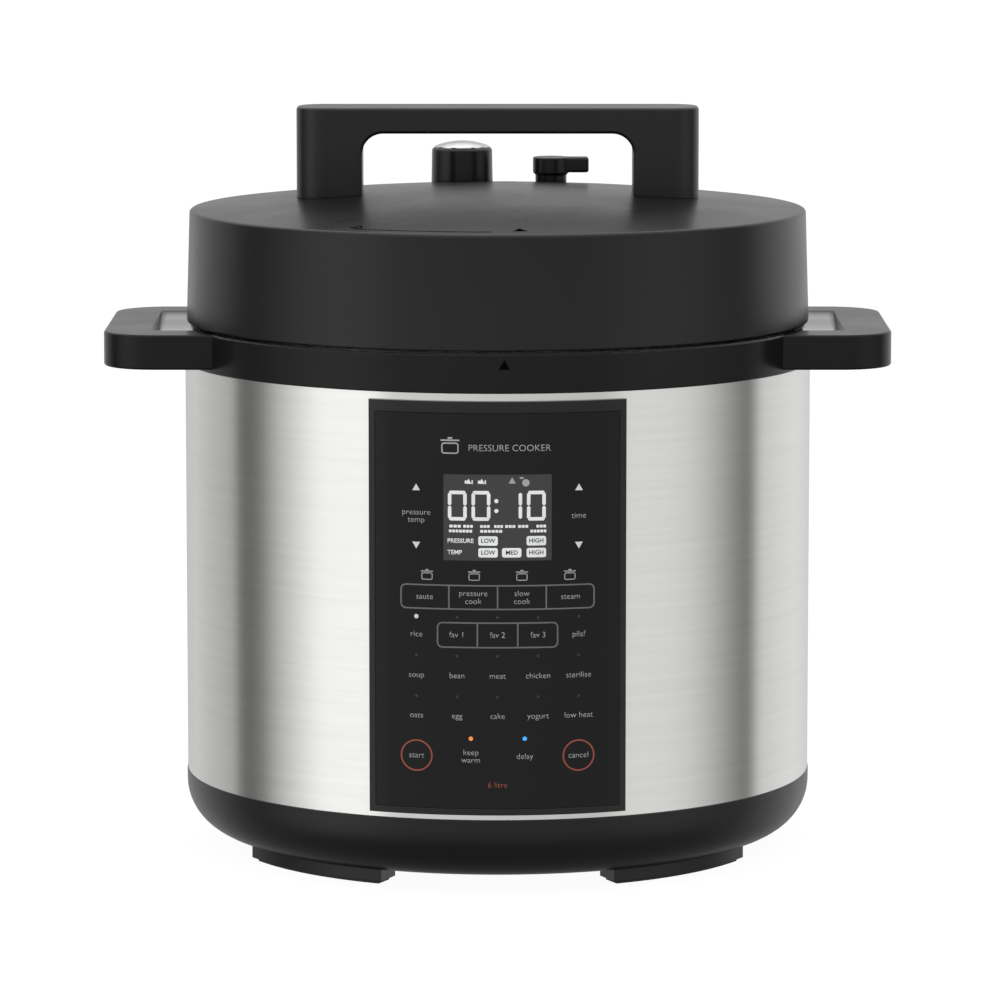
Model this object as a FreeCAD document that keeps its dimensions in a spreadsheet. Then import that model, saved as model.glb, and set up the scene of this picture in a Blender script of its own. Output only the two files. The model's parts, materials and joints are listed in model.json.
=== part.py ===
"""Electric pressure cooker, 6 litre class: a parametric FreeCAD document, written out as one STEP file per piece.

The origin is on the surface that the cooker stands on, under the middle of the pot. +Z is up, and the control
panel faces -Y.
"""

import FreeCAD, Part
import math
import os
import Sketcher
from FreeCAD import Placement, Rotation, Vector

# Driving sizes in millimetres: alias, value, what it is. Heights are measured from the floor.
DRIVING_SIZES = [
    ("housing_radius", 134.6, "steel housing, outside"),
    ("housing_wall", 0.8, "steel housing, sheet thickness"),
    ("trim_proud", 0.3, "how far the plastic rims stand outside the steel"),
    ("trim_edge", 0.8, "rounding along the outer edges of the plastic rims"),
    ("moulding_wall", 2.6, "wall of the plastic mouldings"),
    ("fit_gap", 0.4, "clearance between pieces that fit together"),
    ("contact_gap", 0.3, "clearance between curved faces that would otherwise touch"),
    ("running_gap", 0.8, "clearance between pieces that move past each other"),
    ("base_height", 32.5, "top edge of the base moulding"),
    ("base_round", 22.0, "radius that turns the base wall under"),
    ("foot_height", 5.7, "base plate above the floor"),
    ("foot_radius", 118.5, "outer radius of the arc feet"),
    ("foot_width", 14.0, "width of an arc foot"),
    ("foot_sweep", 37.8, "angle that an arc foot covers, in degrees"),
    ("pad_height", 1.4, "rubber under each foot"),
    ("housing_height", 177.2, "steel that shows between base and collar"),
    ("spigot_height", 5.0, "how far each rim reaches inside the steel"),
    ("collar_height", 16.3, "collar band"),
    ("grip_reach", 32.3, "side handle, past the collar"),
    ("grip_depth", 122.0, "side handle, front to back"),
    ("grip_height", 14.8, "side handle, top to bottom"),
    ("grip_corner", 22.0, "plan radius of a side handle's corners"),
    ("grip_bar", 20.0, "width of a side handle's outer bar"),
    ("grip_edge", 1.1, "rounding along a side handle's top and bottom edges"),
    ("grip_dish_depth", 5.0, "scoop in the top of a side handle"),
    ("grip_dish_length", 83.0, "scoop in the top of a side handle, front to back"),
    ("pot_radius", 111.0, "inner pot, inside"),
    ("pot_wall", 0.9, "inner pot, sheet thickness"),
    ("pot_floor", 66.3, "underside of the inner pot"),
    ("pot_floor_wall", 2.2, "inner pot, bottom"),
    ("pot_round", 7.0, "inner pot, radius around the bottom"),
    ("pot_rim_width", 5.4, "rolled rim of the inner pot, past its wall"),
    ("pot_rim_height", 2.4, "rolled rim of the inner pot, top to bottom"),
    ("shell_gap", 1.6, "clearance between inner and outer pot"),
    ("shell_wall", 1.4, "outer pot, sheet thickness"),
    ("shell_floor", 50.0, "underside of the outer pot"),
    ("shell_hole", 24.0, "hole in the outer pot's bottom"),
    ("shell_round", 6.0, "outer pot, radius around the bottom"),
    ("flange_drop", 12.0, "underside of the outer pot's flange, below the collar's top"),
    ("flange_thickness", 2.5, "outer pot's flange"),
    ("flange_reach", 8.5, "outer pot's flange, past the inner pot's wall"),
    ("lug_reach", 4.2, "outer pot's bayonet lugs, past its flange"),
    ("lug_sweep", 24.0, "angle that a bayonet lug covers, in degrees"),
    ("lid_gap", 0.8, "groove between collar and lid"),
    ("lid_height", 47.7, "lid skirt, bottom edge to rim"),
    ("lid_inset", 2.2, "lid's rim, inside the face of the steel"),
    ("lid_flare", 1.5, "how much wider the skirt is at its bottom edge"),
    ("lid_rim_round", 1.5, "rounding of the lid's rim"),
    ("lid_crown", 8.3, "rise of the lid's top above its rim"),
    ("arch_span", 172.6, "bridge handle, end to end"),
    ("arch_depth", 30.0, "bridge handle, front to back"),
    ("arch_height", 44.0, "bridge handle, above the lid's rim"),
    ("arch_grip", 11.0, "thickness of the bridge handle's grip"),
    ("arch_leg", 28.3, "width of a bridge handle leg"),
    ("arch_corner", 12.5, "plan radius of the bridge handle's ends"),
    ("arch_inside_round", 9.0, "radius inside the bridge handle"),
    ("arch_edge", 1.4, "rounding along the bridge handle's edges"),
    ("lug_room", 1.4, "clearance between the bayonet lugs and the pressure lid"),
    ("steel_lid_wall", 1.2, "pressure lid, sheet thickness"),
    ("steel_lid_step", 8.0, "pressure lid, step up inside the sealing ring"),
    ("steel_lid_crown", 16.0, "pressure lid, rise of its crown above the step"),
    ("hook_height", 3.2, "bayonet hook, top to bottom"),
    ("seal_height", 9.0, "sealing ring, top to bottom"),
    ("seal_width", 9.6, "sealing ring, inside to outside"),
    ("seal_overhang", 3.4, "sealing ring, reach inside the pot's wall"),
    ("seal_lip", 2.4, "sealing ring, thickness of its lips"),
    ("rack_wire", 2.4, "wire that carries the sealing ring"),
    ("valve_inset", 31.0, "row of the two valves, inside the pot's wall"),
    ("knob_across", -15.8, "pressure knob, to the side of the middle"),
    ("knob_radius", 13.6, "pressure knob"),
    ("knob_height", 15.4, "pressure knob, base to shoulder"),
    ("knob_chamfer", 0.9, "pressure knob, shoulder to cap"),
    ("knob_cap_radius", 12.2, "metal cap on the pressure knob"),
    ("knob_cap_height", 2.8, "metal cap on the pressure knob"),
    ("bay_depth", 1.7, "recess around the valves, at the knob"),
    ("bay_margin", 4.0, "recess around the valves, past what stands in it"),
    ("shield_height", 11.0, "vent shield under the pressure lid"),
    ("vent_radius", 4.0, "vent pipe"),
    ("vent_bore", 2.0, "steam way in a valve pipe"),
    ("lever_across", 23.6, "release lever, to the side of the middle"),
    ("lever_radius", 8.0, "release lever's head"),
    ("lever_reach", 16.7, "release lever's arm, from its turning axis"),
    ("lever_thickness", 6.7, "release lever's head and arm"),
    ("lever_rise", 7.8, "top of the release lever, above the lid's top"),
    ("lever_arm_width", 8.4, "release lever's arm, front to back"),
    ("lever_edge", 1.2, "rounding along the release lever's edges"),
    ("lever_seal", 1.0, "seal inside the release lever"),
    ("stem_radius", 6.9, "release lever's stem"),
    ("float_across", 4.5, "float pin, to the side of the middle"),
    ("float_ahead", 22.0, "float pin, in front of the row of valves"),
    ("float_radius", 3.4, "float pin"),
    ("float_travel", 4.5, "how far the float pin rises"),
    ("float_seal", 1.2, "silicone washer on the float pin"),
    ("lid_boss_radius", 5.5, "bosses inside the lid cover"),
    ("lid_boss_clearance", 5.0, "bosses of the lid cover, above the pressure lid"),
    ("lid_stud_circle", 60.0, "studs on the pressure lid, from the middle"),
    ("lid_stud_length", 14.0, "depth of the stud holes in the lid's bosses"),
    ("panel_width", 106.0, "control panel"),
    ("panel_top_gap", 3.1, "steel that shows above the control panel"),
    ("panel_bottom_gap", 2.3, "steel that shows below the control panel"),
    ("panel_proud", 1.6, "control panel, in front of the steel"),
    ("panel_lip", 3.6, "steel that the panel frame covers at each edge"),
    ("bezel_width", 2.6, "frame that shows beside and below the glass"),
    ("bezel_top", 4.8, "frame that shows above the glass"),
    ("glass_thickness", 0.9, "panel glass"),
    ("panel_depth", 8.6, "how far the panel frame reaches inside the housing"),
    ("panel_room", 5.2, "control board, in front of the outer pot"),
    ("boss_gap", 1.6, "bosses of the panel frame, behind the glass"),
    ("touch_radius", 2.2, "contact springs of the touch keys"),
    ("display_width", 45.0, "display module"),
    ("display_drop", 28.6, "display module, below the panel's top edge"),
    ("display_height", 38.0, "display module, top to bottom"),
    ("board_thickness", 1.6, "printed circuit boards"),
    ("plate_inset", 15.0, "heating plate, inside the pot's wall"),
    ("plate_thickness", 11.0, "heating plate"),
    ("element_depth", 2.0, "heating element's ring under the plate"),
    ("stud_radius", 2.5, "studs of the heating plate and of the pressure lid"),
    ("stud_circle", 46.0, "heating plate's studs, from the middle"),
    ("stud_tail", 8.0, "how far studs and terminals reach below the outer pot"),
    ("terminal_radius", 2.0, "heating element's terminals"),
    ("plunger_radius", 9.5, "sensor plunger"),
    ("plunger_height", 18.0, "sensor plunger, top to bottom"),
    ("sensor_depth", 7.0, "room below the sensor plunger"),
    ("sensor_wall", 1.8, "wall of the sensor housing, plunger and inlet"),
    ("spring_wire", 0.7, "plunger spring, wire radius"),
    ("fuse_radius", 2.5, "thermal fuse"),
    ("bracket_width", 16.0, "pot brackets"),
    ("bracket_wall", 1.5, "pot brackets, sheet thickness"),
    ("bracket_inset", 22.0, "pot brackets, inside the feet"),
    ("board_post_height", 8.0, "posts under the power board"),
    ("board_post_circle", 70.0, "posts under the power board, from the middle"),
    ("vent_length", 44.0, "air slots in the base"),
    ("vent_width", 3.0, "air slots in the base"),
    ("drain_radius", 2.6, "drain from the collar to the cup"),
    ("cup_width", 44.0, "condensation cup"),
    ("cup_wall", 1.6, "condensation cup and its bay"),
    ("cup_gap", 3.7, "condensation cup, behind the outer pot"),
    ("cup_drop", 8.7, "condensation cup's top edge, below the collar"),
    ("cup_height", 39.0, "condensation cup, top to bottom"),
    ("cup_proud", 4.6, "condensation cup, behind the steel"),
    ("inlet_height", 58.0, "power inlet, middle"),
    ("inlet_width", 27.0, "power inlet socket"),
    ("inlet_tall", 20.0, "power inlet socket, top to bottom"),
    ("inlet_screw_out", 18.5, "power inlet screws, to each side"),
    ("screw_radius", 1.7, "small screws"),
    ("wire_radius", 1.6, "internal wires"),
]

LUG_COUNT = 6
FOOT_ANGLE = 43.2  # degrees from the front or the back to the middle of each foot
BRACKET_COUNT = 3
LID_STUD_COUNT = 3
SPRING_TURNS = 6
PIN_PLACES = ((-7, -2), (0, 2), (7, -2))  # across and up from the middle of the power inlet
TOUCH_COLUMNS = (-33, -16.5, 0, 16.5, 33)  # across the panel
TOUCH_ROWS = (0.32, 0.51, 0.68, 0.85)  # of the way from the display down to the end of its board

doc = FreeCAD.newDocument("pressure_cooker")
sheet = doc.addObject("Spreadsheet::Sheet", "sizes")


class Size:
    """A number together with the sheet expression that gives it, so that sums of sizes stay bound to the sheet."""

    def __init__(self, number, formula=None):
        self.number = float(number)
        self.formula = formula or "(%s)" % repr(float(number))

    def joined(self, sign, other, number):
        return Size(number, "(%s %s %s)" % (self.formula, sign, as_size(other).formula))

    def __add__(self, other):
        return self.joined("+", other, self.number + as_size(other).number)

    def __sub__(self, other):
        return self.joined("-", other, self.number - as_size(other).number)

    def __mul__(self, other):
        return self.joined("*", other, self.number * as_size(other).number)

    def __truediv__(self, other):
        return self.joined("/", other, self.number / as_size(other).number)

    def __radd__(self, other):
        return as_size(other) + self

    def __rsub__(self, other):
        return as_size(other) - self

    def __rmul__(self, other):
        return as_size(other) * self

    def __neg__(self):
        return as_size(0) - self


def as_size(value):
    return value if isinstance(value, Size) else Size(value)


def square_root(size):
    return Size(math.sqrt(size.number), "sqrt(%s)" % size.formula)


class Sizes:
    """The driving sizes by name."""


for row, (alias, value, meaning) in enumerate(DRIVING_SIZES, start=1):
    sheet.set("A%d" % row, meaning)
    sheet.set("B%d" % row, str(value))
    sheet.setAlias("B%d" % row, alias)
    setattr(Sizes, alias, Size(value, "sizes.%s" % alias))
doc.recompute()
S = Sizes

NODES = []  # (node name, document object), in the order that they are made


def node(name, piece):
    """Names a finished piece, which is then written to its own file."""
    piece.Label = name
    NODES.append((name, piece))
    return piece


# ---- drawing tools ---------------------------------------------------------------------------------------------


def bind(piece, name, size):
    piece.setExpression(name, as_size(size).formula)


def place(piece, at, rotation=None):
    """Puts a piece at three sizes, turned first."""
    numbers = [as_size(value) for value in at]
    piece.Placement = Placement(Vector(*[value.number for value in numbers]), rotation or Rotation())
    for letter, value in zip("xyz", numbers):
        bind(piece, "Placement.Base.%s" % letter, value)
    return piece


def along(direction):
    """The turn that lays a shape drawn along +Z along another direction."""
    return Rotation(Vector(0, 0, 1), Vector(*direction))


def rod(name, radius, start, length, direction=(0, 0, 1)):
    piece = doc.addObject("Part::Cylinder", name)
    bind(piece, "Radius", radius)
    bind(piece, "Height", length)
    return place(piece, start, along(direction))


def block(name, low, high, turned_by=0):
    """A box between two corners, which may be turned about the Z axis of the cooker."""
    piece = doc.addObject("Part::Box", name)
    for side, first, last in zip(("Length", "Width", "Height"), low, high):
        bind(piece, side, as_size(last) - first)
    if not turned_by:
        return place(piece, low)
    cosine, sine = math.cos(math.radians(turned_by)), math.sin(math.radians(turned_by))
    x, y = as_size(low[0]), as_size(low[1])
    turned = (x * cosine - y * sine, x * sine + y * cosine, low[2])
    return place(piece, turned, Rotation(Vector(0, 0, 1), turned_by))


def torus(name, radius, wire_radius, height):
    piece = doc.addObject("Part::Torus", name)
    bind(piece, "Radius1", radius)
    bind(piece, "Radius2", wire_radius)
    return place(piece, (0, 0, height))


def hexagon(name, across_flats, start, length):
    piece = doc.addObject("Part::Prism", name)
    piece.Polygon = 6
    bind(piece, "Circumradius", as_size(across_flats) / math.sqrt(3))
    bind(piece, "Height", length)
    return place(piece, start)


def cut(name, base, *tools):
    for tool in tools:
        piece = doc.addObject("Part::Cut", name)
        piece.Base = base
        piece.Tool = tool
        base = piece
    return base


def join(name, *pieces):
    piece = doc.addObject("Part::MultiFuse", name)
    piece.Shapes = list(pieces)
    piece.Refine = True
    return piece


def common(name, *pieces):
    piece = doc.addObject("Part::MultiCommon", name)
    piece.Shapes = list(pieces)
    return piece


def group(name, pieces):
    """Several separate solids that are one node, such as a set of screws."""
    piece = doc.addObject("Part::Compound", name)
    piece.Links = list(pieces)
    return piece


def ring(name, inner, outer, bottom, top):
    height = as_size(top) - bottom
    return cut(name, rod(name + "_outside", outer, (0, 0, bottom), height),
               rod(name + "_inside", inner, (0, 0, as_size(bottom) - 1), height + 2))


def sector(name, inner, outer, bottom, top, middle_angle, sweep):
    """A piece of a flat ring that covers an angle, centred on middle_angle."""
    sweep = as_size(sweep)
    piece = rod(name + "_outside", outer, (0, 0, bottom), as_size(top) - bottom)
    bind(piece, "Angle", sweep)
    piece.Placement = Placement(piece.Placement.Base, Rotation(Vector(0, 0, 1), middle_angle - sweep.number / 2))
    piece.setExpression("Placement.Rotation.Angle", "%s - %s / 2" % (float(middle_angle), sweep.formula))
    return cut(name, piece, rod(name + "_inside", inner, (0, 0, as_size(bottom) - 1), as_size(top) - bottom + 2))


def around(count, first_angle=0.0):
    return [first_angle + index * 360.0 / count for index in range(count)]


def polar(radius, angle):
    """The x and y of a point at a radius and an angle in degrees."""
    radius = as_size(radius)
    return radius * math.cos(math.radians(angle)), radius * math.sin(math.radians(angle))


def origin_plane(body, role):
    return [plane for plane in body.Origin.OriginFeatures if plane.Role == role][0]


def draw(body, name, outline, plane, offset=0):
    """A closed, fully placed sketch. A point is (across, up), or (across, up, "crown") where the edge that leads
    to it is an arc centred on the vertical axis."""
    sketch = body.newObject("Sketcher::SketchObject", name)
    sketch.AttachmentSupport = [(origin_plane(body, plane), "")]
    sketch.MapMode = "FlatFace"
    bind(sketch, "AttachmentOffset.Base.z", offset)
    points = [(as_size(point[0]), as_size(point[1]), "crown" in point[2:]) for point in outline]
    ends = []
    for index, (across, up, _) in enumerate(points):
        next_across, next_up, crown = points[(index + 1) % len(points)]
        first = Vector(across.number, up.number, 0)
        last = Vector(next_across.number, next_up.number, 0)
        if not crown:
            ends.append((sketch.addGeometry(Part.LineSegment(first, last)), 1, 2))
            continue
        middle = (first.x ** 2 + first.y ** 2 - last.x ** 2 - last.y ** 2) / (2 * (first.y - last.y))
        angles = [math.atan2(point.y - middle, point.x) for point in (first, last)]
        circle = Part.Circle(Vector(0, middle, 0), Vector(0, 0, 1), first.distanceToPoint(Vector(0, middle, 0)))
        forwards = angles[0] < angles[1]
        arc = sketch.addGeometry(Part.ArcOfCircle(circle, min(angles), max(angles)))
        ends.append((arc, 1, 2) if forwards else (arc, 2, 1))
        sketch.addConstraint(Sketcher.Constraint("PointOnObject", arc, 3, -2))
    for index, (edge, _, last_end) in enumerate(ends):
        next_edge, next_first, _ = ends[(index + 1) % len(ends)]
        sketch.addConstraint(Sketcher.Constraint("Coincident", edge, last_end, next_edge, next_first))
    for (edge, first_end, _), (across, up, _) in zip(ends, points):
        for kind, size, axis in (("DistanceX", across, -2), ("DistanceY", up, -1)):
            if abs(size.number) < 1e-9:
                sketch.addConstraint(Sketcher.Constraint("PointOnObject", edge, first_end, axis))
                continue
            place_at = sketch.addConstraint(Sketcher.Constraint(kind, -1, 1, edge, first_end, size.number))
            sketch.setExpression("Constraints[%d]" % place_at, size.formula)
    return sketch


def rounded(body, feature, name, rounds, finder):
    """Rounds the edges that finder picks for each (radius, corners) in rounds."""
    for index, (radius, corners) in enumerate(rounds):
        doc.recompute()
        edges = [edge for corner in corners for edge in finder(feature.Shape, corner)]
        if not edges:
            raise ValueError("%s: no edge to round at %s" % (name, index))
        fillet = body.newObject("PartDesign::Fillet", "%s_round" % name)
        fillet.Base = (feature, edges)
        bind(fillet, "Radius", radius)
        feature = fillet
    body.Tip = feature
    return body


def rim_edges(shape, corner):
    """The circular edges around the Z axis at a (radius, height)."""
    radius, height = [as_size(value).number for value in corner]
    found = []
    for index, edge in enumerate(shape.Edges, start=1):
        if edge.Degenerated or not isinstance(edge.Curve, Part.Circle):
            continue
        if abs(edge.Curve.Radius - radius) < 1e-4 and abs(edge.Curve.Center.z - height) < 1e-4:
            found.append("Edge%d" % index)
    return found


def crossing_edges(shape, corner):
    """The straight edges that pass through an (x, y) and are parallel to Z, or through (x, "z", z) parallel to Y."""
    found = []
    flat = len(corner) == 3
    for index, edge in enumerate(shape.Edges, start=1):
        first, last = edge.Vertexes[0].Point, edge.Vertexes[-1].Point
        seen = (first.x, first.z) if flat else (first.x, first.y)
        other = (last.x, last.z) if flat else (last.x, last.y)
        wanted = [as_size(value).number for value in corner if not isinstance(value, str)]
        if max(abs(a - b) for a, b in zip(seen + other, wanted + wanted)) < 1e-4:
            found.append("Edge%d" % index)
    return found


def level_edges(shape, height):
    """The edges that lie at a height."""
    height = as_size(height).number
    return ["Edge%d" % index for index, edge in enumerate(shape.Edges, start=1)
            if max(abs(corner.Z - height) for corner in edge.Vertexes) < 1e-4]


def turned(name, outline, rounds=()):
    """A body of revolution about Z. rounds is a list of (radius, [(radius, height) of each corner])."""
    body = doc.addObject("PartDesign::Body", name)
    sketch = draw(body, name + "_outline", outline, "XZ_Plane")
    feature = body.newObject("PartDesign::Revolution", name + "_turned")
    feature.Profile = sketch
    feature.ReferenceAxis = (sketch, ["V_Axis"])
    feature.Angle = 360
    body.Tip = feature
    return rounded(body, feature, name, rounds, rim_edges)


def plate(name, outline, bottom, top, rounds=(), rims=()):
    """An upright prism over a flat outline. rounds is a list of (radius, [(x, y) of each upright corner]), and rims
    of (radius, [height of each face whose edges are rounded])."""
    body = doc.addObject("PartDesign::Body", name)
    sketch = draw(body, name + "_outline", outline, "XY_Plane", bottom)
    feature = body.newObject("PartDesign::Pad", name + "_pad")
    feature.Profile = sketch
    bind(feature, "Length", as_size(top) - bottom)
    rounded(body, feature, name, rounds, crossing_edges)
    return rounded(body, body.Tip, name + "_rim", rims, level_edges)


def rectangle(low_x, low_y, high_x, high_y):
    return [(low_x, low_y), (high_x, low_y), (high_x, high_y), (low_x, high_y)]


def screw(name, start, length, direction=(0, 0, -1), radius=None):
    """A pan-head screw: start is under its head, and direction is the way it goes in."""
    radius = as_size(radius or S.screw_radius)
    back = [-component for component in direction]
    shank = rod(name + "_shank", radius, start, length, direction)
    head = rod(name + "_head", radius * 1.9, start, radius * 1.1, back)
    return join(name, shank, head)


def wire(name, points, radius):
    """A wire along straight runs joined by arcs as large as the runs allow."""
    corners = [Vector(*[as_size(value).number for value in point]) for point in points]
    edges = []
    last_end = corners[0]
    for before, corner, after in zip(corners, corners[1:], corners[2:]):
        back, ahead = (before - corner), (after - corner)
        trim = 0.45 * min(back.Length, ahead.Length)
        back.normalize()
        ahead.normalize()
        start, end = corner + back * trim, corner + ahead * trim
        half_turn = (math.pi - back.getAngle(ahead)) / 2
        bend = trim / math.tan(half_turn)
        middle_way = (back + ahead).normalize()
        nearest = corner + middle_way * (bend / math.cos(half_turn) - bend)
        edges.append(Part.LineSegment(last_end, start).toShape())
        edges.append(Part.Arc(start, nearest, end).toShape())
        last_end = end
    edges.append(Part.LineSegment(last_end, corners[-1]).toShape())
    path = Part.Wire(edges)
    section = Part.Wire([Part.makeCircle(radius.number, corners[0], corners[1] - corners[0])])
    piece = doc.addObject("Part::Feature", name)
    piece.Shape = path.makePipeShell([section], True, False)
    return piece


# ---- heights and radii that several pieces share ---------------------------------------------------------------

trim_radius = S.housing_radius + S.trim_proud
grip_span = trim_radius + S.grip_reach
steel_inside = S.housing_radius - S.housing_wall
spigot_radius = steel_inside - S.fit_gap / 2
collar_bottom = S.base_height + S.housing_height
collar_top = collar_bottom + S.collar_height
base_floor = S.foot_height + S.moulding_wall

pot_outside = S.pot_radius + S.pot_wall
shell_inside = pot_outside + S.shell_gap
shell_outside = shell_inside + S.shell_wall
flange_height = collar_top - S.flange_drop
flange_radius = pot_outside + S.flange_reach
lug_radius = flange_radius + S.lug_reach
flange_top = flange_height + S.flange_thickness
pot_rim_bottom = flange_top + S.contact_gap
pot_rim_top = pot_rim_bottom + S.pot_rim_height

lid_radius = S.housing_radius - S.lid_inset
lid_bottom = collar_top + S.lid_gap
lid_rim = lid_bottom + S.lid_height
lid_top = lid_rim + S.lid_crown
skirt_radius = lid_radius + S.lid_flare
lid_wall = S.moulding_wall

seal_inside = pot_outside - S.seal_overhang
seal_outside = seal_inside + S.seal_width
seal_bottom = pot_rim_top + S.contact_gap
seal_top = seal_bottom + S.seal_height
steel_lid_seat = seal_top + S.contact_gap
steel_lid_inside = lug_radius + S.lug_room
steel_lid_radius = steel_lid_inside + S.steel_lid_wall
steel_crown_radius = seal_inside - S.rack_wire
steel_lid_step = steel_lid_seat + S.steel_lid_step
steel_lid_top = steel_lid_step + S.steel_lid_crown
hook_top = flange_height - S.fit_gap
hook_bottom = hook_top - S.hook_height

panel_front = S.housing_radius + S.panel_proud
panel_half = S.panel_width / 2
opening_half = panel_half - S.panel_lip
panel_top = collar_bottom - S.panel_top_gap
panel_bottom = S.base_height + S.panel_bottom_gap
display_top = panel_top - S.display_drop
display_bottom = display_top - S.display_height
cup_front = shell_outside + S.cup_gap
cup_top = collar_bottom - S.cup_drop
cup_bottom = cup_top - S.cup_height


def crown_height(radius, crown_radius=lid_radius, crown_rise=S.lid_crown, top=None):
    """Height at a radius on a crown: the arc, centred on the axis, that rises by crown_rise over crown_radius."""
    top = lid_top if top is None else top
    bend = (crown_radius * crown_radius + crown_rise * crown_rise) / (crown_rise * 2)
    return top - bend + square_root(bend * bend - as_size(radius) * radius)


def steel_height(radius):
    """Height of the pressure lid's upper surface at a radius."""
    return crown_height(radius, steel_crown_radius, S.steel_lid_crown, steel_lid_top)


def from_middle(across, behind):
    return square_root(across * across + behind * behind)


valve_row = S.pot_radius - S.valve_inset
lever_top = lid_top + S.lever_rise
knob_place = (S.knob_across, valve_row)
lever_place = (S.lever_across, valve_row)
float_place = (S.float_across, valve_row - S.float_ahead)
knob_out = from_middle(*knob_place)
lever_out = from_middle(*lever_place)
float_out = from_middle(*float_place)

collar_floor_top = collar_bottom - S.spigot_height + S.moulding_wall - S.housing_wall
collar_floor_bottom = collar_floor_top - S.moulding_wall
collar_screw_circle = (shell_outside + steel_inside) / 2 + 1
collar_screw_angles = (30, 150, 210, 330)

stud_angles = around(3, 30)
terminal_angles = (250, 290)
plate_radius = S.pot_radius - S.plate_inset
terminal_circle = plate_radius * 0.76
bracket_angles = around(BRACKET_COUNT, 90)
bracket_circle = S.foot_radius - S.foot_width - S.bracket_inset
lid_stud_angles = around(LID_STUD_COUNT, 30)
board_post_angles = (35, 80, 100, 145)
board_bottom = base_floor + S.board_post_height
board_top = board_bottom + S.board_thickness
screw_hole = S.screw_radius + S.contact_gap


# ---- base ------------------------------------------------------------------------------------------------------


def arc_feet(name, inset, bottom, top):
    inner = S.foot_radius - S.foot_width + inset
    return [sector(name, inner, S.foot_radius - inset, bottom, top, angle, S.foot_sweep - inset)
            for angle in (90 - FOOT_ANGLE, 90 + FOOT_ANGLE, 270 - FOOT_ANGLE, 270 + FOOT_ANGLE)]


def make_base():
    inside = spigot_radius - S.moulding_wall
    spigot_top = S.base_height + S.spigot_height
    bowl = turned("base_bowl", [
        (0, S.foot_height), (trim_radius, S.foot_height), (trim_radius, S.base_height),
        (spigot_radius, S.base_height), (spigot_radius, spigot_top), (inside, spigot_top),
        (inside, base_floor), (0, base_floor),
    ], rounds=[
        (S.base_round, [(trim_radius, S.foot_height)]),
        (S.base_round - S.moulding_wall, [(inside, base_floor)]),
        (S.trim_edge * 0.6, [(trim_radius, S.base_height)]),
    ])
    posts = [rod("board_post", S.screw_radius * 3, (*polar(S.board_post_circle, angle), base_floor - 1),
                 S.board_post_height + 1) for angle in board_post_angles]
    pilots = [rod("board_pilot", screw_hole, (*polar(S.board_post_circle, angle), base_floor),
                  S.board_post_height + 1) for angle in board_post_angles]
    vents = [block("base_vent", (-S.vent_length / 2, -row - S.vent_width, S.foot_height - 1),
                   (S.vent_length / 2, -row, base_floor + 1)) for row in (30, 38, 46, 54)]
    holes = [rod("base_screw_hole", S.screw_radius * 2.2, (*polar(bracket_circle, angle), S.foot_height - 1),
                 S.moulding_wall + 2) for angle in bracket_angles]
    whole = join("base_body", bowl, *arc_feet("foot", 0, S.pad_height, base_floor), *posts)
    node("base_moulding", cut("base_moulding", whole, *vents, *holes, *pilots))
    node("foot_pads", group("foot_pads", arc_feet("foot_pad", 2, 0, S.pad_height)))


# ---- housing and collar ----------------------------------------------------------------------------------------


def cup_space(name, clearance):
    """The space of the condensation cup, grown by a clearance and open towards the back."""
    half = S.cup_width / 2 + clearance
    return block(name, (-half, cup_front - clearance, cup_bottom - clearance),
                 (half, S.housing_radius + S.grip_bar, cup_top + clearance))


def make_housing():
    shell = ring("housing_tube", steel_inside, S.housing_radius, S.base_height, collar_bottom)
    panel_window = block("panel_window", (-opening_half, -panel_front - 5, panel_bottom + S.panel_lip),
                         (opening_half, -S.housing_radius / 2, panel_top - S.panel_lip))
    half = S.inlet_width / 2 + S.fit_gap
    tall = S.inlet_tall / 2 + S.fit_gap
    inlet_window = block("inlet_window", (-half, S.housing_radius / 2, S.inlet_height - tall),
                         (half, S.housing_radius + 5, S.inlet_height + tall))
    node("steel_housing", cut("steel_housing", shell, panel_window, inlet_window, *inlet_screw_holes(),
                              cup_space("cup_opening", S.cup_wall + S.fit_gap * 2)))


def grip_bar(angle):
    """One side handle, drawn towards +X and turned about Z to its side. It is hollow underneath."""
    half = S.grip_depth / 2
    bottom = collar_top - S.grip_height
    root = S.housing_radius * 0.6
    bar = plate("side_grip", rectangle(root, -half, grip_span, half), bottom, collar_top,
                rounds=[(S.grip_corner, [(grip_span, half), (grip_span, -half)])],
                rims=[(S.grip_edge, [bottom, collar_top])])
    wall = S.moulding_wall * 2
    under_end, under_half = grip_span - wall, half - wall
    under = plate("side_grip_hollow", rectangle(trim_radius + 1, -under_half, under_end, under_half), bottom - 2,
                  collar_top - S.grip_dish_depth - S.moulding_wall,
                  rounds=[(S.grip_corner - wall, [(under_end, under_half), (under_end, -under_half)])])
    return turned_about(cut("side_grip_hollowed", bar, under), angle)


def grip_scoop(angle):
    """The shallow scoop in the top of a side handle, which runs up to the lid's skirt."""
    depth, half = S.grip_dish_depth, S.grip_dish_length / 2
    bend = (half * half + depth * depth) / (depth * 2)
    end = grip_span - S.grip_bar
    middle = collar_top - depth + bend
    scoop = rod("grip_scoop_form", bend, (0, 0, middle), end, (1, 0, 0))
    lid_side = rod("grip_scoop_stop", lid_radius, (0, 0, collar_bottom), bend * 2)
    return turned_about(cut("grip_scoop", scoop, lid_side), angle)


def turned_about(piece, angle):
    piece.Placement = Placement(Vector(), Rotation(Vector(0, 0, 1), angle))
    return piece


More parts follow.
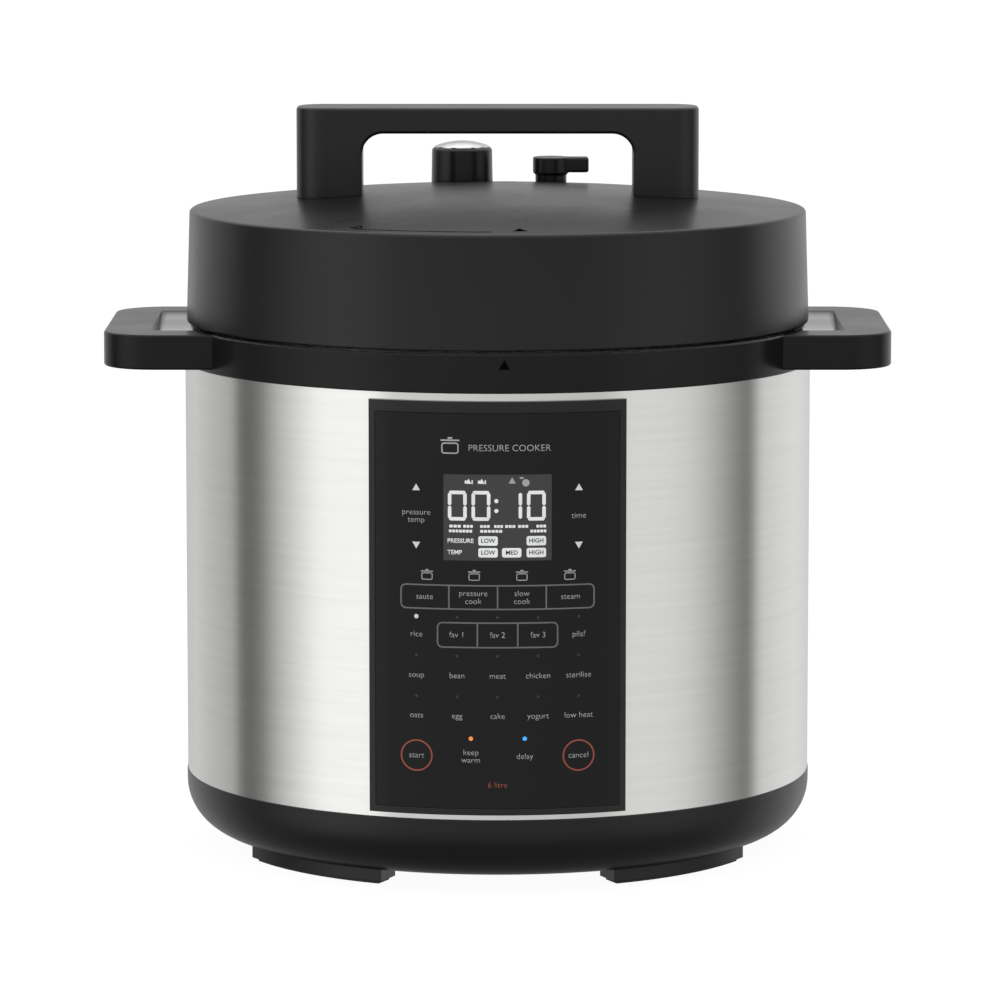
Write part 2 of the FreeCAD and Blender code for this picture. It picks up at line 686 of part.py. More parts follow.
def make_collar():
    hub_radius = shell_outside + S.running_gap
    hub_outside = hub_radius + S.moulding_wall
    wall_inside = steel_inside - S.moulding_wall
    bore = rod("collar_bore", wall_inside, (0, 0, collar_floor_bottom - 5), S.collar_height + 60)
    band = turned("collar_band", [
        (wall_inside, collar_top), (wall_inside, collar_floor_top), (hub_outside, collar_floor_top),
        (hub_outside, flange_height), (hub_radius, flange_height), (hub_radius, collar_floor_bottom),
        (spigot_radius, collar_floor_bottom), (spigot_radius, collar_bottom), (trim_radius, collar_bottom),
        (trim_radius, collar_top),
    ], rounds=[(S.trim_edge, [(trim_radius, collar_top)]), (S.trim_edge * 0.6, [(trim_radius, collar_bottom)])])
    grips = cut("grips_outside_collar", group("grips", [grip_bar(0), grip_bar(180)]), bore)
    scoops = [grip_scoop(0), grip_scoop(180)]
    drain = rod("collar_drain", S.drain_radius, (0, collar_screw_circle, collar_floor_bottom - 1),
                S.moulding_wall + 2)
    places = [polar(collar_screw_circle, angle) for angle in collar_screw_angles]
    holes = [rod("collar_screw_hole", screw_hole, (*place_at, collar_floor_bottom - 1), S.moulding_wall + 2)
             for place_at in places]
    node("top_collar", cut("top_collar", join("collar_body", band, grips), drain, *scoops, *holes))
    node("collar_screws", group("collar_screws", [
        screw("collar_screw", (*place_at, collar_floor_bottom), S.moulding_wall - 0.4, (0, 0, 1))
        for place_at in places]))


def make_cup():
    wall = S.cup_wall
    outer = cup_space("cup_bay_outside", S.fit_gap + wall)
    skin = rod("cup_bay_skin", trim_radius, (0, 0, cup_bottom / 2), cup_top)
    drip = rod("cup_drip_hole", S.drain_radius, (0, collar_screw_circle, cup_top), S.fit_gap + wall + 5)
    node("cup_bay", cut("cup_bay", common("cup_bay_body", outer, skin), cup_space("cup_room", S.fit_gap), drip))
    back = rod("cup_back", S.housing_radius + S.cup_proud, (0, 0, cup_bottom / 2), cup_top)
    cup = common("cup_outside", cup_space("cup_form", 0), back)
    inner_back = rod("cup_inner_back", S.housing_radius + S.cup_proud - wall, (0, 0, cup_bottom / 2),
                     cup_top * 2)
    half = S.cup_width / 2 - wall
    room = block("cup_inside", (-half, cup_front + wall, cup_bottom + wall),
                 (half, S.housing_radius + S.grip_bar, cup_top + 5))
    node("condensation_cup", cut("condensation_cup", cup, common("cup_hollow", room, inner_back)))


# ---- pots ------------------------------------------------------------------------------------------------------


def make_outer_pot():
    floor_top = S.shell_floor + S.shell_wall
    shell = turned("outer_pot_shell", [
        (shell_inside, flange_top), (shell_inside, floor_top), (S.shell_hole, floor_top),
        (S.shell_hole, S.shell_floor), (shell_outside, S.shell_floor), (shell_outside, flange_height),
        (flange_radius, flange_height), (flange_radius, flange_top),
    ], rounds=[(S.shell_round, [(shell_outside, S.shell_floor)]),
               (S.shell_round - S.shell_wall, [(shell_inside, floor_top)])])
    lugs = [sector("bayonet_lug", shell_outside, lug_radius, flange_height, flange_top, angle, S.lug_sweep)
            for angle in around(LUG_COUNT)]
    holes = [rod("plate_stud_hole", S.stud_radius + S.contact_gap,
                 (*polar(S.stud_circle, angle), S.shell_floor - 1), S.shell_wall + 2) for angle in stud_angles]
    bushes = [rod("terminal_hole", S.terminal_radius * 2, (*polar(terminal_circle, angle), S.shell_floor - 1),
                  S.shell_wall + 2) for angle in terminal_angles]
    node("outer_pot", cut("outer_pot", join("outer_pot_body", shell, *lugs), *holes, *bushes))


def make_inner_pot():
    rim_radius = pot_outside + S.pot_rim_width
    floor_top = S.pot_floor + S.pot_floor_wall
    node("inner_pot", turned("inner_pot", [
        (0, S.pot_floor), (pot_outside, S.pot_floor), (pot_outside, pot_rim_bottom), (rim_radius, pot_rim_bottom),
        (rim_radius, pot_rim_top), (S.pot_radius, pot_rim_top), (S.pot_radius, floor_top), (0, floor_top),
    ], rounds=[(S.pot_round, [(pot_outside, S.pot_floor)]),
               (S.pot_round - S.pot_floor_wall, [(S.pot_radius, floor_top)]),
               (S.pot_rim_height * 0.4, [(rim_radius, pot_rim_top), (rim_radius, pot_rim_bottom)])]))


def make_brackets():
    """Angle-iron brackets that hold the outer pot up from the base."""
    width, wall = S.bracket_width / 2, S.bracket_wall
    inner, outer = bracket_circle - S.bracket_width / 2, bracket_circle + S.bracket_width / 2
    brackets = []
    for angle in bracket_angles:
        foot = block("bracket_foot", (inner, -width, base_floor), (outer, width, base_floor + wall), angle)
        web = block("bracket_web", (outer, -width, base_floor), (outer + wall, width, S.shell_floor), angle)
        head = block("bracket_head", (inner, -width, S.shell_floor - wall), (outer, width, S.shell_floor), angle)
        hole = rod("bracket_hole", screw_hole, (*polar(bracket_circle, angle), base_floor - 1), wall + 2)
        brackets.append(cut("pot_bracket", join("bracket_body", foot, web, head), hole))
    node("pot_brackets", group("pot_brackets", brackets))
    node("base_screws", group("base_screws", [
        screw("base_screw", (*polar(bracket_circle, angle), base_floor), wall * 3, (0, 0, 1))
        for angle in bracket_angles]))


# ---- heating and sensing ---------------------------------------------------------------------------------------

plate_top = S.pot_floor - S.contact_gap
plate_bottom = plate_top - S.plate_thickness
element_bottom = plate_bottom - S.element_depth
plunger_top = S.pot_floor - S.contact_gap
plunger_bottom = plunger_top - S.plunger_height
sensor_bore = S.plunger_radius + S.fit_gap
sensor_outside = sensor_bore + S.sensor_wall
sensor_bottom = plunger_bottom - S.sensor_depth
spring_bottom = sensor_bottom + S.sensor_wall
plunger_roof = plunger_top - S.sensor_wall


def make_heating():
    bore = sensor_outside + S.running_gap
    node("heating_plate", turned("heating_plate", [
        (bore, plate_top), (bore, plate_bottom), (plate_radius * 0.64, plate_bottom),
        (plate_radius * 0.68, element_bottom), (plate_radius * 0.84, element_bottom),
        (plate_radius * 0.9, plate_bottom), (plate_radius, plate_bottom + S.element_depth),
        (plate_radius, plate_top),
    ], rounds=[(1.5, [(plate_radius, plate_top)])]))
    studs = []
    for angle in stud_angles:
        at = polar(S.stud_circle, angle)
        shank = rod("stud_shank", S.stud_radius, (*at, S.shell_floor - S.stud_tail),
                    plate_bottom - S.shell_floor + S.stud_tail)
        nut = hexagon("stud_nut", S.stud_radius * 3.2, (*at, S.shell_floor - S.stud_radius * 1.6),
                      S.stud_radius * 1.6)
        studs.append(join("plate_stud", shank, nut))
    node("plate_studs", group("plate_studs", studs))
    node("element_terminals", group("element_terminals", [
        rod("element_terminal", S.terminal_radius, (*polar(terminal_circle, angle), S.shell_floor - S.stud_tail),
            element_bottom - S.shell_floor + S.stud_tail) for angle in terminal_angles]))
    flange = S.shell_hole + S.bracket_wall * 4
    node("sensor_housing", turned("sensor_housing", [
        (sensor_bore, plate_top - 4), (sensor_bore, spring_bottom), (1.8, spring_bottom), (1.8, sensor_bottom),
        (sensor_outside, sensor_bottom), (sensor_outside, S.shell_floor - S.sensor_wall),
        (flange, S.shell_floor - S.sensor_wall), (flange, S.shell_floor), (sensor_outside, S.shell_floor),
        (sensor_outside, plate_top - 4),
    ]))
    hollow = S.plunger_radius - S.sensor_wall
    node("sensor_plunger", turned("sensor_plunger", [
        (0, plunger_top), (S.plunger_radius, plunger_top), (S.plunger_radius, plunger_bottom),
        (hollow, plunger_bottom), (hollow, plunger_roof), (0, plunger_roof),
    ], rounds=[(0.8, [(S.plunger_radius, plunger_top)])]))
    make_spring(hollow - S.spring_wire - S.fit_gap)
    node("thermal_fuse", rod("thermal_fuse", S.fuse_radius,
                             (S.shell_hole + 12, -S.shell_hole, S.shell_floor - S.fuse_radius), 16, (1, 0, 0)))
    switch_top = S.shell_floor - 3
    node("pressure_switch", join(
        "pressure_switch", block("switch_case", (-62, -26, switch_top - 14), (-46, -14, switch_top - 4)),
        rod("switch_button", 2, (-54, -20, switch_top - 5), 5)))
    node("switch_bracket", join(
        "switch_bracket",
        block("switch_web", (-62, -14, switch_top - 14), (-46, -14 + S.bracket_wall, S.shell_floor)),
        block("switch_tab", (-62, -14, S.shell_floor - S.bracket_wall), (-46, -4, S.shell_floor))))


def make_spring(radius):
    """The coil that lifts the sensor plunger against the pot."""
    height = plunger_roof.number - spring_bottom.number - 2 * S.spring_wire.number
    pitch = height / SPRING_TURNS
    path = Part.Wire(Part.makeHelix(pitch, height, radius.number))
    section = Part.Wire([Part.makeCircle(S.spring_wire.number, Vector(radius.number, 0, 0), Vector(0, 1, 0))])
    coil = path.makePipeShell([section], True, True)
    spring = doc.addObject("Part::Feature", "plunger_spring")
    spring.Shape = coil
    node("plunger_spring", place(spring, (0, 0, spring_bottom + S.spring_wire)))


# ---- power and wiring ------------------------------------------------------------------------------------------


def inlet_screw_holes():
    return [rod("inlet_screw_hole", screw_hole, (side * S.inlet_screw_out, S.housing_radius / 2, S.inlet_height),
                S.housing_radius, (0, 1, 0)) for side in (-1, 1)]


def make_inlet():
    flange_half = S.inlet_screw_out + S.screw_radius * 3
    flange_tall = S.inlet_tall / 2 + 4
    flange = common("inlet_flange", ring("inlet_flange_ring", S.housing_radius, S.housing_radius + 2,
                                         S.inlet_height - flange_tall, S.inlet_height + flange_tall),
                    block("inlet_flange_form", (-flange_half, S.housing_radius / 2, S.base_height),
                          (flange_half, S.housing_radius + 5, S.inlet_height + S.inlet_tall)))
    half, tall = S.inlet_width / 2, S.inlet_tall / 2
    front = shell_outside + S.running_gap * 2
    socket = block("inlet_case", (-half, front, S.inlet_height - tall),
                   (half, S.housing_radius + 2.4, S.inlet_height + tall))
    wall = S.sensor_wall
    room = block("inlet_room", (wall - half, front + wall, S.inlet_height - tall + wall),
                 (half - wall, S.housing_radius + 5, S.inlet_height + tall - wall))
    node("inlet_socket", cut("inlet_socket", join("inlet_body", flange, socket), room, *inlet_screw_holes()))
    node("inlet_pins", group("inlet_pins", [
        block("inlet_pin", (across - 1, front + wall, S.inlet_height + up - 2),
              (across + 1, S.housing_radius - 2, S.inlet_height + up + 2)) for across, up in PIN_PLACES]))
    head_edge = S.inlet_screw_out - S.screw_radius * 1.9
    seat = square_root((S.housing_radius + 2) * (S.housing_radius + 2) - head_edge * head_edge)
    node("inlet_screws", group("inlet_screws", [
        screw("inlet_screw", (side * S.inlet_screw_out, seat + S.contact_gap, S.inlet_height), 7, (0, -1, 0))
        for side in (-1, 1)]))


def make_power_board():
    places = [polar(S.board_post_circle, angle) for angle in board_post_angles]
    board = block("power_board_sheet", (-64, 34, board_bottom), (64, 74, board_top))
    holes = [rod("power_board_hole", screw_hole, (*at, board_bottom - 1), S.board_thickness + 2) for at in places]
    node("power_board", cut("power_board", board, *holes))
    node("board_screws", group("board_screws", [
        screw("board_screw", (*at, board_top), S.board_post_height * 0.8, (0, 0, -1)) for at in places]))
    node("relay", block("relay", (22, 44, board_top), (37, 62, board_top + 15)))
    core = block("transformer_core", (-36, 42, board_top), (-12, 62, board_top + 18))
    coil = block("transformer_coil", (-32, 39, board_top + 3), (-16, 65, board_top + 15))
    node("transformer", join("transformer", core, coil))
    node("terminal_block", block("terminal_block", (38.5, 40, board_top), (52, 50, board_top + 11)))


def make_wires():
    """Leads inside the base. The points are places that each lead passes, chosen to keep clear of the pieces."""
    inlet_under = S.inlet_height - S.inlet_tall / 2
    terminal_end = S.shell_floor - S.stud_tail
    block_top = board_top + 11
    lead = S.wire_radius
    node("mains_wires", group("mains_wires", [
        wire("mains_wire", [(5, 126, inlet_under), (5, 126, 39), (14, 113, 30), (38, 88, 29), (48, 60, 36),
                            (48, 45, 38), (48, 45, block_top)], lead),
        wire("mains_wire", [(-5, 126, inlet_under), (-5, 126, 34), (6, 110, 25), (30, 84, 24), (41, 62, 32),
                            (41.5, 45, 38), (41.5, 45, block_top)], lead)]))
    leads = []
    for side, angle in zip((-1, 1), terminal_angles):
        out, down = polar(terminal_circle, angle)
        leads.append(wire("element_wire", [
            (out, down, terminal_end), (out, down, 33), (side * 31, -55, 24), (side * 42, -28, 19),
            (side * 45, 0, 20), (side * 42, 26, 26), (side * 40, 37, 26), (side * 40, 37, board_top)], lead))
    node("element_wires", group("element_wires", leads))
    node("sensor_wire", wire("sensor_wire", [
        (0, 0, sensor_bottom), (0, 0, 31), (3, 18, 25), (5, 38, 27), (5, 38, board_top)], lead * 0.8))
    middle = panel_board_back - S.board_thickness / 2
    node("panel_cable", wire("panel_cable", [
        (10, middle, panel_board_bottom), (10, middle, 34), (14, -98, 18), (17, -52, 14), (15, -12, 16),
        (11, 22, 24), (10, 38, 27), (10, 38, board_top)], lead))


# ---- control panel ---------------------------------------------------------------------------------------------

glass_half = panel_half - S.bezel_width
ledge_half = opening_half - S.fit_gap - S.moulding_wall
panel_board_back = -(shell_outside + S.panel_room)
panel_board_front = panel_board_back - S.board_thickness
panel_board_bottom = panel_bottom + S.panel_lip * 3
panel_board_top = panel_top - S.panel_lip * 2.5
glass_inside = panel_front - S.glass_thickness - S.contact_gap / 3
boss_out = ledge_half - S.screw_radius * 1.4
boss_rows = (panel_board_bottom + 6, panel_board_top - 6)
boss_places = [(side * boss_out, row) for side in (-1, 1) for row in boss_rows]
boss_tip = square_root((glass_inside - S.boss_gap) * (glass_inside - S.boss_gap) - boss_out * boss_out)


def front_slab(name, inside, outside, half, bottom, top):
    """A piece of a cylinder wall that faces the front, with upright flat sides."""
    wall = ring(name + "_ring", inside, outside, bottom, top)
    return common(name, wall, block(name + "_form", (-as_size(half), -outside - 5, bottom - 1),
                                    (half, -S.housing_radius / 2, top + 1)))


def make_panel():
    bottom, top = panel_bottom, panel_top
    face = front_slab("panel_face", S.housing_radius, panel_front, panel_half, bottom, top)
    pocket = front_slab("glass_pocket", glass_inside - S.contact_gap / 3, panel_front + 3, glass_half,
                        bottom + S.bezel_width, top - S.bezel_top)
    tube_half = opening_half - S.fit_gap
    lip = S.panel_lip + S.fit_gap
    tube = front_slab("panel_tube", S.housing_radius - S.panel_depth, S.housing_radius + S.panel_proud / 3,
                      tube_half, bottom + lip, top - lip)
    window = block("panel_view", (-ledge_half, -panel_front - 5, bottom + lip + S.moulding_wall),
                   (ledge_half, -S.housing_radius / 2, top - lip - S.moulding_wall))
    bosses = [rod("panel_boss", S.screw_radius * 1.8, (across, panel_board_front, row),
                  boss_tip + panel_board_front, (0, -1, 0))
              for across, row in boss_places]
    pilots = [rod("panel_pilot", screw_hole, (across, panel_board_back + 6, row),
                  boss_tip + panel_board_back + 6.4, (0, -1, 0))
              for across, row in boss_places]
    frame = cut("panel_frame_open", join("panel_frame_body", face, tube), pocket, window)
    node("panel_frame", cut("panel_frame", join("panel_frame_bossed", frame, *bosses), *pilots))
    gap = S.contact_gap / 3
    node("panel_glass", front_slab("panel_glass", glass_inside, glass_inside + S.glass_thickness, glass_half - gap,
                                   bottom + S.bezel_width + gap, top - S.bezel_top - gap))
    board = block("control_board_sheet", (-ledge_half + 1, panel_board_front, panel_board_bottom),
                  (ledge_half - 1, panel_board_back, panel_board_top))
    board_holes = [rod("control_board_hole", screw_hole, (across, panel_board_back + 6, row), 20, (0, -1, 0))
                   for across, row in boss_places]
    node("control_board", cut("control_board", board, *board_holes))
    half = S.display_width / 2
    display_front = square_root(glass_inside * glass_inside - half * half) - S.contact_gap
    node("display_module", block("display_module", (-half, -display_front, display_bottom),
                                 (half, panel_board_front, display_top)))
    springs = []
    for across in TOUCH_COLUMNS:
        reach = square_root(glass_inside * glass_inside - (abs(across) + 3) ** 2) - S.contact_gap
        for share in TOUCH_ROWS:
            row = display_bottom - (display_bottom - panel_board_bottom) * share
            springs.append(rod("touch_spring", S.touch_radius, (across, panel_board_front, row),
                               reach + panel_board_front, (0, -1, 0)))
    node("touch_springs", group("touch_springs", springs))
    back = panel_board_back + S.board_thickness
    cover = block("panel_backing_sheet", (-ledge_half + 0.6, back, panel_board_bottom - 2),
                  (ledge_half - 0.6, back + S.board_thickness, panel_board_top + 2))
    cover_holes = [rod("panel_backing_hole", screw_hole, (across, back + 6, row), 12, (0, -1, 0))
                   for across, row in boss_places]
    node("panel_backing", cut("panel_backing", cover, *cover_holes))
    node("panel_screws", group("panel_screws", [
        screw("panel_screw", (across, back + S.board_thickness, row), S.board_thickness * 4, (0, -1, 0), 1.3)
        for across, row in boss_places]))


# ---- lid -------------------------------------------------------------------------------------------------------

bay_floor = crown_height(knob_out) - S.bay_depth
arch_out = S.arch_span / 2
leg_middle = arch_out - S.arch_leg / 2
leg_screws = [(side * leg_middle, along_leg) for side in (-1, 1)
              for along_leg in (-S.arch_depth / 4, S.arch_depth / 4)]
lid_boss_bottom = steel_lid_top + S.lid_boss_clearance


def lid_solid(name):
    """The lid's outer form, filled."""
    return turned(name, [(0, lid_bottom), (skirt_radius, lid_bottom), (lid_radius, lid_rim), (0, lid_top, "crown")],
                  rounds=[(S.lid_rim_round, [(lid_radius, lid_rim)]), (S.trim_edge, [(skirt_radius, lid_bottom)])])


def bay_prism(name, grown, bottom, top):
    """The recess around the valves, grown outwards."""
    left = S.knob_across - S.knob_radius - S.bay_margin - grown
    right = S.lever_across + S.lever_reach + S.bay_margin + grown
    half = S.knob_radius + S.bay_margin + grown
    corners = rectangle(left, valve_row - half, right, valve_row + half)
    return plate(name, corners, bottom, top, rounds=[(S.knob_radius, corners)])


def make_lid_cover():
    inner_rim = lid_radius - lid_wall
    room = turned("lid_room", [
        (0, lid_bottom - 1), (skirt_radius - lid_wall, lid_bottom - 1), (inner_rim, lid_rim - lid_wall),
        (0, lid_top - lid_wall, "crown"),
    ])
    shell = cut("lid_shell", lid_solid("lid_outside"), room)
    floor_pad = common("bay_floor", bay_prism("bay_floor_form", lid_wall, bay_floor - lid_wall, lid_top),
                       lid_solid("lid_outside_bay"))
    bosses = [rod("lid_boss", S.lid_boss_radius, (*polar(S.lid_stud_circle, angle), lid_boss_bottom),
                  crown_height(S.lid_stud_circle) - lid_boss_bottom - 1) for angle in lid_stud_angles]
    boss_holes = [rod("lid_boss_hole", S.stud_radius + S.contact_gap,
                      (*polar(S.lid_stud_circle, angle), lid_boss_bottom - 1), S.lid_stud_length)
                  for angle in lid_stud_angles]
    pipe_holes = [rod("lid_pipe_hole", S.vent_radius + S.fit_gap, (*at, lid_bottom), S.lid_height * 2)
                  for at in (knob_place, lever_place)]
    float_hole = rod("lid_float_hole", S.float_radius + S.fit_gap, (*float_place, lid_bottom), S.lid_height * 2)
    leg_holes = [rod("lid_leg_hole", screw_hole, (*at, lid_bottom), S.lid_height * 2) for at in leg_screws]
    bay = bay_prism("valve_bay", 0, bay_floor, lid_top + 2)
    node("lid_cover", cut("lid_cover", join("lid_body", shell, floor_pad, *bosses), bay, *boss_holes, *pipe_holes,
                          float_hole, *leg_holes))


def opening_edges(shape, corner):
    """The edges around the bridge handle's opening, on the side face at y: corner is (half the opening, y)."""
    half, side = [as_size(value).number for value in corner]
    return ["Edge%d" % index for index, edge in enumerate(shape.Edges, start=1)
            if max(abs(point.Y - side) for point in edge.Vertexes) < 1e-4
            and max(abs(point.X) for point in edge.Vertexes) < half + 1e-4]


def make_lid_handle():
    body = doc.addObject("PartDesign::Body", "arch")
    arch_top = lid_rim + S.arch_height
    inner = arch_out - S.arch_leg
    under = arch_top - S.arch_grip
    outline = [(-arch_out, lid_rim), (-arch_out, arch_top), (arch_out, arch_top), (arch_out, lid_rim),
               (inner, lid_rim), (inner, under), (-inner, under), (-inner, lid_rim)]
    sketch = draw(body, "arch_outline", outline, "XZ_Plane")
    pad = body.newObject("PartDesign::Pad", "arch_pad")
    pad.Profile = sketch
    pad.SideType = "Symmetric"
    bind(pad, "Length", S.arch_depth)
    half = S.arch_depth / 2
    corners = [(x, y) for x in (-arch_out, arch_out) for y in (-half, half)]
    rounded(body, pad, "arch", [
        (S.arch_corner, corners),
        (S.arch_inside_round, [(-inner, "flat", under), (inner, "flat", under)]),
    ], crossing_edges)
    rounded(body, body.Tip, "arch_top", [(S.arch_edge, [arch_top])], level_edges)
    rounded(body, body.Tip, "arch_side", [(S.arch_edge, [(inner, half), (inner, -half)])], opening_edges)
    pilots = [rod("arch_pilot", screw_hole, (*at, lid_rim), S.arch_leg) for at in leg_screws]
    node("lid_handle", cut("lid_handle", body, lid_solid("lid_outside_arch"), *pilots))
    screws = []
    for across, behind in leg_screws:
        under_cover = crown_height(from_middle(as_size(across), as_size(behind))) - lid_wall
        screws.append(screw("handle_screw", (across, behind, under_cover - S.contact_gap * 2), S.arch_leg / 2,
                            (0, 0, 1)))
    node("handle_screws", group("handle_screws", screws))


def make_pressure_lid():
    wall = S.steel_lid_wall
    inner_crown = steel_crown_radius - wall
    shell = turned("pressure_lid_shell", [
        (steel_lid_radius, hook_bottom), (steel_lid_radius, steel_lid_seat + wall),
        (steel_crown_radius, steel_lid_seat + wall), (steel_crown_radius, steel_lid_step),
        (0, steel_lid_top, "crown"), (0, steel_lid_top - wall), (inner_crown, steel_lid_step - wall, "crown"),
        (inner_crown, steel_lid_seat), (steel_lid_inside, steel_lid_seat), (steel_lid_inside, hook_bottom),
    ])
    hook_reach = flange_radius + S.running_gap
    hooks = [sector("bayonet_hook", hook_reach, steel_lid_inside + wall / 2, hook_bottom, hook_top, angle,
                    S.lug_sweep - 2) for angle in around(LUG_COUNT)]
    pipe_holes = [rod("steel_pipe_hole", S.vent_radius + S.contact_gap, (*at, steel_lid_seat), S.lid_height)
                  for at in (knob_place, lever_place)]
    float_hole = rod("steel_float_hole", guide_radius + S.contact_gap, (*float_place, steel_lid_seat), S.lid_height)
    node("pressure_lid", cut("pressure_lid", join("pressure_lid_body", shell, *hooks), *pipe_holes, float_hole))
    stud_bottom = steel_height(S.lid_stud_circle - S.stud_radius)
    studs, nuts = [], []
    for angle in lid_stud_angles:
        at = polar(S.lid_stud_circle, angle)
        studs.append(rod("lid_stud", S.stud_radius, (*at, stud_bottom),
                         lid_boss_bottom + S.lid_stud_length - S.running_gap * 2 - stud_bottom))
        bore = rod("lid_nut_bore", S.stud_radius + S.contact_gap / 3, (*at, lid_boss_bottom - 10), 12)
        nuts.append(cut("lid_nut", hexagon("lid_nut_form", S.stud_radius * 3.4, (*at, lid_boss_bottom - 3.2), 3.2),
                        bore))
    node("lid_studs", group("lid_studs", studs))
    node("lid_nuts", group("lid_nuts", nuts))


guide_radius = S.float_radius + S.fit_gap + 1.6


def make_seal():
    lip = S.seal_lip
    groove = seal_inside + S.seal_width * 0.5
    node("sealing_ring", turned("sealing_ring", [
        (seal_inside, seal_bottom), (seal_outside, seal_bottom), (seal_outside, seal_top), (seal_inside, seal_top),
        (seal_inside, seal_top - lip), (groove, seal_top - lip), (groove, seal_bottom + lip),
        (seal_inside, seal_bottom + lip),
    ], rounds=[(1, [(seal_outside, seal_bottom), (seal_outside, seal_top)])]))
    middle = (seal_bottom + seal_top) / 2
    wire_radius = S.rack_wire / 2
    rack_radius = groove - wire_radius - S.fit_gap
    hoop = torus("rack_hoop", rack_radius, wire_radius, middle)
    tabs = []
    tab_inner = steel_crown_radius + S.contact_gap
    for angle in around(LUG_COUNT, 15):
        tabs.append(block("rack_arm", (tab_inner, -3, middle - 0.6), (rack_radius, 3, middle + 0.6), angle))
        tabs.append(block("rack_tab", (tab_inner, -3, middle - 0.6), (tab_inner + 1.2, 3, steel_lid_seat), angle))
    node("seal_rack", join("seal_rack", hoop, *tabs))


def valve_pipe(name, at, out, top):
    """A threaded steam pipe through the pressure lid, with its shoulder above and its nut below."""
    shoulder_radius = S.vent_radius * 1.7
    shoulder = steel_height(out - shoulder_radius)
    under = steel_height(out + shoulder_radius) - S.steel_lid_wall - S.contact_gap
    nut_height = S.vent_radius * 0.9
    pipe = join(name + "_solid", rod(name + "_shank", S.vent_radius, (*at, under - nut_height - 1.5),
                                     top - under + nut_height + 1.5),
                rod(name + "_shoulder", shoulder_radius, (*at, shoulder), 2))
    bore = rod(name + "_bore", S.vent_bore, (*at, under - 20), top - under + 40)
    nut = cut(name + "_nut", hexagon(name + "_nut_form", S.vent_radius * 3, (*at, under - nut_height), nut_height),
              rod(name + "_nut_bore", S.vent_radius + S.contact_gap / 3, (*at, under - 20), 30))
    return cut(name, pipe, bore), nut, under


def make_valves():
    knob_bottom = bay_floor + S.running_gap
    shoulder = knob_bottom + S.knob_height
    vent_top = shoulder - S.moulding_wall * 2
    pipe, nut, under = valve_pipe("vent_pipe", knob_place, knob_out, vent_top)
    node("vent_pipe", pipe)
    release_top = lever_top - S.lever_thickness - S.running_gap
    release, release_nut, _ = valve_pipe("release_pipe", lever_place, lever_out, release_top)
    node("release_pipe", release)
    node("valve_nuts", group("valve_nuts", [nut, release_nut]))
    shield_radius = S.vent_radius * 2.7
    shield_top = steel_height(knob_out + shield_radius) - S.steel_lid_wall - S.contact_gap
    shield_bottom = shield_top - S.shield_height
    slots = [block("shield_slot", (-shield_radius * 2, -1.2, shield_bottom + 2),
                   (shield_radius * 2, 1.2, shield_bottom + 2 + S.shield_height * 0.6), turn)
             for turn in (0, 60, 120)]
    form = rod("shield_form", shield_radius, (0, 0, shield_bottom), S.shield_height)
    room = rod("shield_room", shield_radius - 1, (0, 0, shield_bottom + 1), S.shield_height)
    node("vent_shield", place(cut("vent_shield", form, room, *slots), (*knob_place, 0)))

    top = shoulder + S.knob_chamfer
    room = S.knob_radius - S.moulding_wall / 2
    room_top = shoulder - S.moulding_wall
    taper = S.trim_proud
    knob = turned("pressure_knob", [
        (S.vent_radius + S.running_gap, knob_bottom), (S.knob_radius, knob_bottom),
        (S.knob_radius - taper, shoulder), (S.knob_cap_radius, top), (0, top), (0, room_top), (room, room_top),
        (room, knob_bottom + 1.6), (S.vent_radius + S.running_gap, knob_bottom + 1.6),
    ], rounds=[(1.2, [(S.knob_radius - taper, shoulder)])])
    node("pressure_knob", place(knob, (*knob_place, 0)))
    cap = turned("knob_cap", [(0, top), (S.knob_cap_radius - 0.3, top), (S.knob_cap_radius - 0.3, top + 0.5),
                              (0, top + S.knob_cap_height, "crown")])
    node("knob_cap", place(cap, (*knob_place, 0)))
    weight_top = room_top - S.contact_gap
    weight = turned("knob_weight", [
        (S.vent_radius + S.running_gap, knob_bottom + 1.6), (room - S.contact_gap, knob_bottom + 1.6),
        (room - S.contact_gap, weight_top), (0, weight_top), (0, vent_top + S.contact_gap),
        (S.vent_radius + S.running_gap, vent_top + S.contact_gap),
    ])
    node("knob_weight", place(weight, (*knob_place, 0)))

    lever_bottom = lever_top - S.lever_thickness
    stem_bottom = bay_floor + S.running_gap
    head = turned("lever_head", [
        (0, stem_bottom), (S.stem_radius, stem_bottom), (S.stem_radius, lever_bottom - S.lever_edge),
        (S.lever_radius, lever_bottom), (S.lever_radius, lever_top), (0, lever_top),
    ], rounds=[(S.lever_edge / 2, [(S.lever_radius, lever_top)])])
    half = S.lever_arm_width / 2
    arm = plate("lever_arm", rectangle(0, -half, S.lever_reach, half), lever_bottom, lever_top,
                rounds=[(S.lever_edge, [(S.lever_reach, half), (S.lever_reach, -half)])],
                rims=[(S.lever_edge, [lever_bottom, lever_top])])
    for piece in (head, arm):
        place(piece, (*lever_place, 0))
    socket = rod("lever_socket", S.vent_radius + S.fit_gap, (*lever_place, stem_bottom - 1),
                 release_top + S.fit_gap + S.lever_seal - stem_bottom + 1)
    node("release_lever", cut("release_lever", join("release_lever_body", head, arm), socket))
    node("lever_seal", rod("lever_seal", S.vent_radius, (*lever_place, release_top + S.fit_gap), S.lever_seal))


